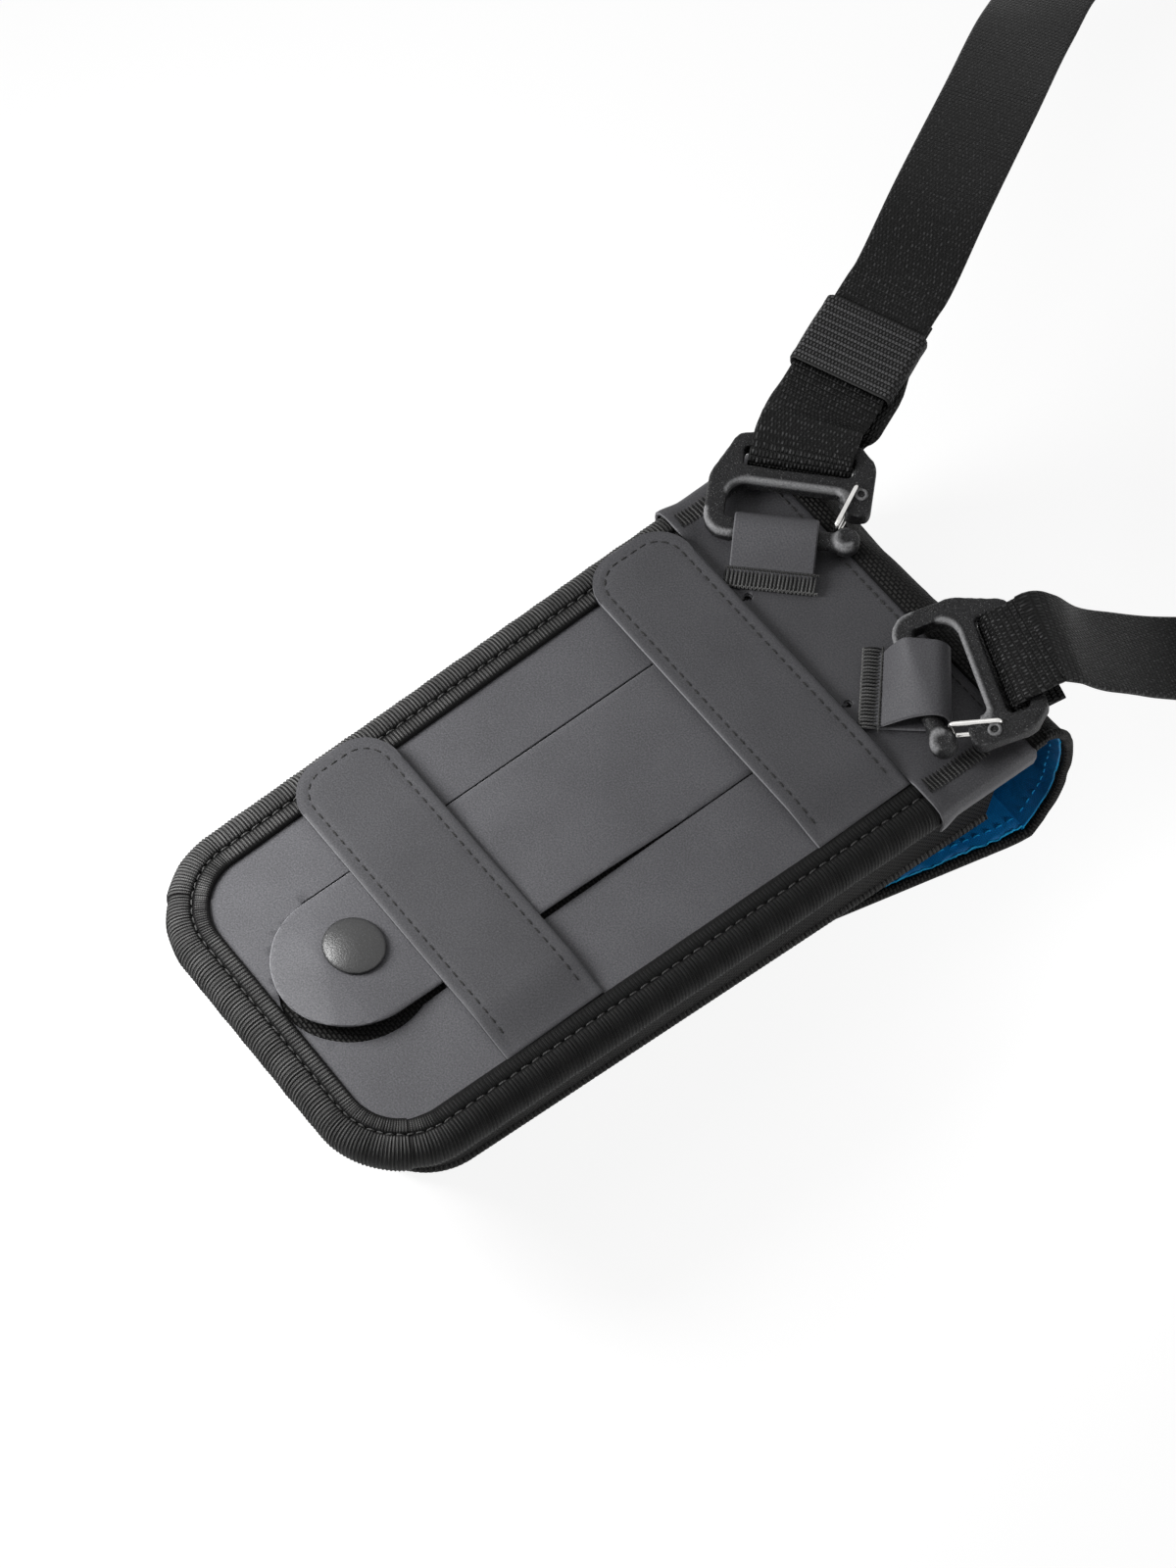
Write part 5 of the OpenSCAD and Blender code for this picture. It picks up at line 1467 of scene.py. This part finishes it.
LAYERS = ((-3, 2.2), (2, LAYER_H), (8, LAYER_H), (34, LAYER_H))
left_run = [(*left_top, 0)] + in_keeper(1, *LAYERS, (44, LAYER_H)) + LEFT_ROUTE + [(*folds[-1], 90)]
right_run = [(*(right_top + end_dir(RIGHT) * d), 0) for d in (0, 2)] + RIGHT_ROUTE + [(*folds[0], -90)]
tail = strap_frames(smooth([(*left_low, 0)] + in_keeper(-1, *LAYERS), 8), end_dir(LEFT))
tail_run = lengths([p for p, side, face in tail])
tail = [(p + side * 3.0 * step(at, 0, 9) * step(at, 34, 18), side, -face)
        for at, (p, side, face) in zip(tail_run, tail)]
left_frames = tail[::-1] + wrap_frames(LEFT) + strap_frames(smooth(left_run, 8), end_dir(LEFT), -bundle_dir)
right_frames = wrap_frames(RIGHT) + strap_frames(smooth(right_run, 8), end_dir(RIGHT), bundle_dir)

for spec, frames, parts in ((LEFT, left_frames, ("end", "run", "tail")),
                            (RIGHT, right_frames, ("end", "run"))):
    piece = strap(f"strap_{spec.side}_webbing", frames, body=None,
                  replaces=[f"strap_{spec.side}_{part}" for part in parts])
    near = Vector(spec.at) + on_hook(spec, (0, ASKEW_Y, 0)) + end_dir(spec) * (END_L - 3)
    far = near + end_dir(spec) * 16
    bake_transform(piece)
strap("strap_folded_webbing", strap_frames([(*p, 90) for p in folds]), pitch=0.6, replaces=["strap_bundle"])


def belt_ring(width, height, r, count):
    """A closed path around a box, for a ring of cloth."""
    ring = box_outline(-width / 2, -height / 2, width / 2, height / 2, [r] * 4, 6)
    return resample(raised(ring + ring[:1]), count=count)[:-1]


def keeper():
    """A ring of ribbed elastic around both layers of the left strap."""
    count, spans = 420, 14
    ring = belt_ring(WEBBING_W + 1.6, 2 * (LAYER_H + WEBBING_T / 2 + 0.3) + 1.0, 1.6, count)
    total = lengths(ring)
    borders = {0: 0.18, 1: 0.12, spans - 1: 0.12, spans: 0.18}
    grid = []
    for i, p in enumerate(ring):
        d = (ring[(i + 1) % count] - ring[i - 1]).normalized()
        out = Vector((d.y, -d.x, 0))
        rib = 0.13 * (ribbed(total[i], 0.92) - 0.7)
        row = []
        for j in range(spans + 1):
            bulge = 0.25 * math.sin(math.pi * j / spans)
            q = p + out * (rib * (0 if j in (0, spans) else 1) + borders.get(j, -0.03) + bulge)
            row.append(KEEPER @ Vector((q.x, KEEPER_FROM + KEEPER_L * j / spans, q.y)))
        grid.append(row)
    thick("strap_keeper_elastic", grid, 0.9, "elastic", wrap=True, edge=0.5, sharp=75, body="strap_keeper",
          replaces=["strap_keeper"], uv=[[(at, KEEPER_L * j / spans) for j in range(spans + 1)]
                                         for at in total])


keeper()
tie_ring = belt_ring((FOLD_RUNS - 1) * FOLD_PITCH + WEBBING_T + 1.4, WEBBING_W + 1.4, 1.2, 120)
thick("strap_folded_tie", [[BUNDLE @ Vector((lerp(-4.4, 4.4, j / 8), p.x, p.y)) for j in range(9)]
                           for p in tie_ring],
      0.8, "tie", wrap=True, sharp=75, replaces=["strap_bundle_tie"])


# ---- what each soft piece is -------------------------------------------------------------
def both(name):
    return [name + "_left", name + "_right"]


def lining_sides(name):
    return both(name + "_edge") + both(name + "_stitches")


SHEETS = (
    ("back_panel_cloth", "stretched", "back_underlay_cloth", []),
    ("back_underlay_cloth", "stretched", "back_foam_sheet", []),
    ("back_lining_cloth", "stretched", "back_foam_sheet", []),
    ("tongue_cloth", "laid", "back_underlay_cloth", []),
    ("yoke_cloth", "folded", "back_panel_cloth", ["yoke_stitches", "yoke_bartack_threads"]),
    ("lower_band_cloth", "laid", "lower_band_loop_side", ["lower_band_stitches"]),
    ("upper_band_cloth", "laid", "upper_band_loop_side", ["upper_band_stitches"]),
    ("gusset_cloth", "stretched", "edge_binding_tape", []),
    ("pocket_front_cloth", "stretched", "gusset_cloth", []),
    ("pocket_lining_cloth", "laid", "pocket_front_cloth", []),
    ("flap_top_outer_cloth", "hung", "top_seam_tape_cloth", both("flap_top_hem")),
    ("flap_top_lining_cloth", "hung", "flap_top_outer_cloth", lining_sides("flap_top_lining")),
    ("flap_front_outer_cloth", "laid", "pocket_front_cloth", both("flap_front_hem")),
    ("flap_front_lining_cloth", "laid", "flap_front_outer_cloth", lining_sides("flap_front_lining")),
    ("loop_left_strap", "folded", "hook_left_casting", ["loop_left_bartack_threads"]),
    ("loop_right_strap", "folded", "hook_right_casting", ["loop_right_bartack_threads"]),
    ("strap_left_webbing", "hung", "hook_left_casting", []),
    ("strap_right_webbing", "hung", "hook_right_casting", []),
    ("strap_folded_webbing", "folded", "strap_left_webbing", ["strap_folded_tie"]),
    ("strap_keeper_elastic", "folded", "strap_left_webbing", []))
for name, held, rests_on, others in SHEETS:
    width, length, area = CUTS[name]
    [bpy.data.objects[other] for other in others]


# ---- floor, light and camera -----------------------------------------------------------
def seen_share(tree, operation, *values):
    """An operation on values and on 1 for rays that the camera sees straight, mirrored or through glass."""
    rays = node(tree, "LightPath").outputs
    seen = math_node(tree, "MAXIMUM", rays["Is Camera Ray"], rays["Is Glossy Ray"])
    seen = math_node(tree, "MAXIMUM", seen, rays["Is Transmission Ray"])
    return math_node(tree, operation, seen, *values)


def backdrop(name, colour, camera_share):
    """A paper that is painted for the lamps and brightened for the camera."""
    material = bpy.data.materials.new(name)
    material.use_nodes = True
    tree = material.node_tree
    tree.nodes.clear()
    strength = seen_share(tree, "MULTIPLY", camera_share)
    glow = node(tree, "Emission", {"Color": rgb(1), "Strength": strength})
    paint = node(tree, "BsdfDiffuse", {"Color": colour})
    both_shaders = node(tree, "AddShader", {0: glow.outputs[0], 1: paint.outputs[0]})
    node(tree, "OutputMaterial", {"Surface": both_shaders.outputs[0]})
    return material


floor_mesh = bpy.data.meshes.new("floor")
floor_mesh.from_pydata([(-3, -3, 0), (3, -3, 0), (3, 3, 0), (-3, 3, 0)], [], [(0, 1, 2, 3)])
floor_mesh.materials.append(backdrop("floor_paper", rgb(0.30), 0.89))
floor = bpy.data.objects.new("floor", floor_mesh)
bpy.context.scene.collection.objects.link(floor)

world = bpy.data.worlds.new("studio")
bpy.context.scene.world = world
world.use_nodes = True
world.node_tree.nodes.clear()
sky_strength = seen_share(world.node_tree, "MULTIPLY_ADD", 0.89, 0.11)
sky = node(world.node_tree, "Background", {"Color": rgb(1), "Strength": sky_strength})
node(world.node_tree, "OutputWorld", {"Surface": sky.outputs[0]})


def aim(name, data, at, target):
    piece = bpy.data.objects.new(name, data)
    piece.location = at
    piece.rotation_euler = (Vector(at) - Vector(target)).to_track_quat("Z", "Y").to_euler()
    bpy.context.scene.collection.objects.link(piece)
    return piece


def area_light(name, at, target, size, share):
    """share is the part of a white surface's own brightness that the lamp gives at its target."""
    light = bpy.data.lights.new(name, "AREA")
    light.shape = "DISK"
    light.size = size
    light.energy = math.pi ** 2 * (Vector(at) - Vector(target)).length_squared * share
    aim(name, light, at, target)


area_light("key", (-0.13, -0.16, 0.19), (0, 0, 0.052), 0.13, 1.14)
area_light("fill", (0.15, 0.11, 0.055), (0.05, 0.09, 0.02), 0.04, 0.35)
area_light("top", (-0.3, -0.15, 0.9), (0, 0.05, 0.05), 0.5, 0.06)

camera_data = bpy.data.cameras.new("camera")
camera_data.lens = 90
camera_data.sensor_width = 36
bpy.context.scene.camera = aim("camera", camera_data, (0.3405, -0.2709, 0.8721), (-0.005, 0, 0.052))
bpy.context.scene.view_settings.view_transform = "Standard"
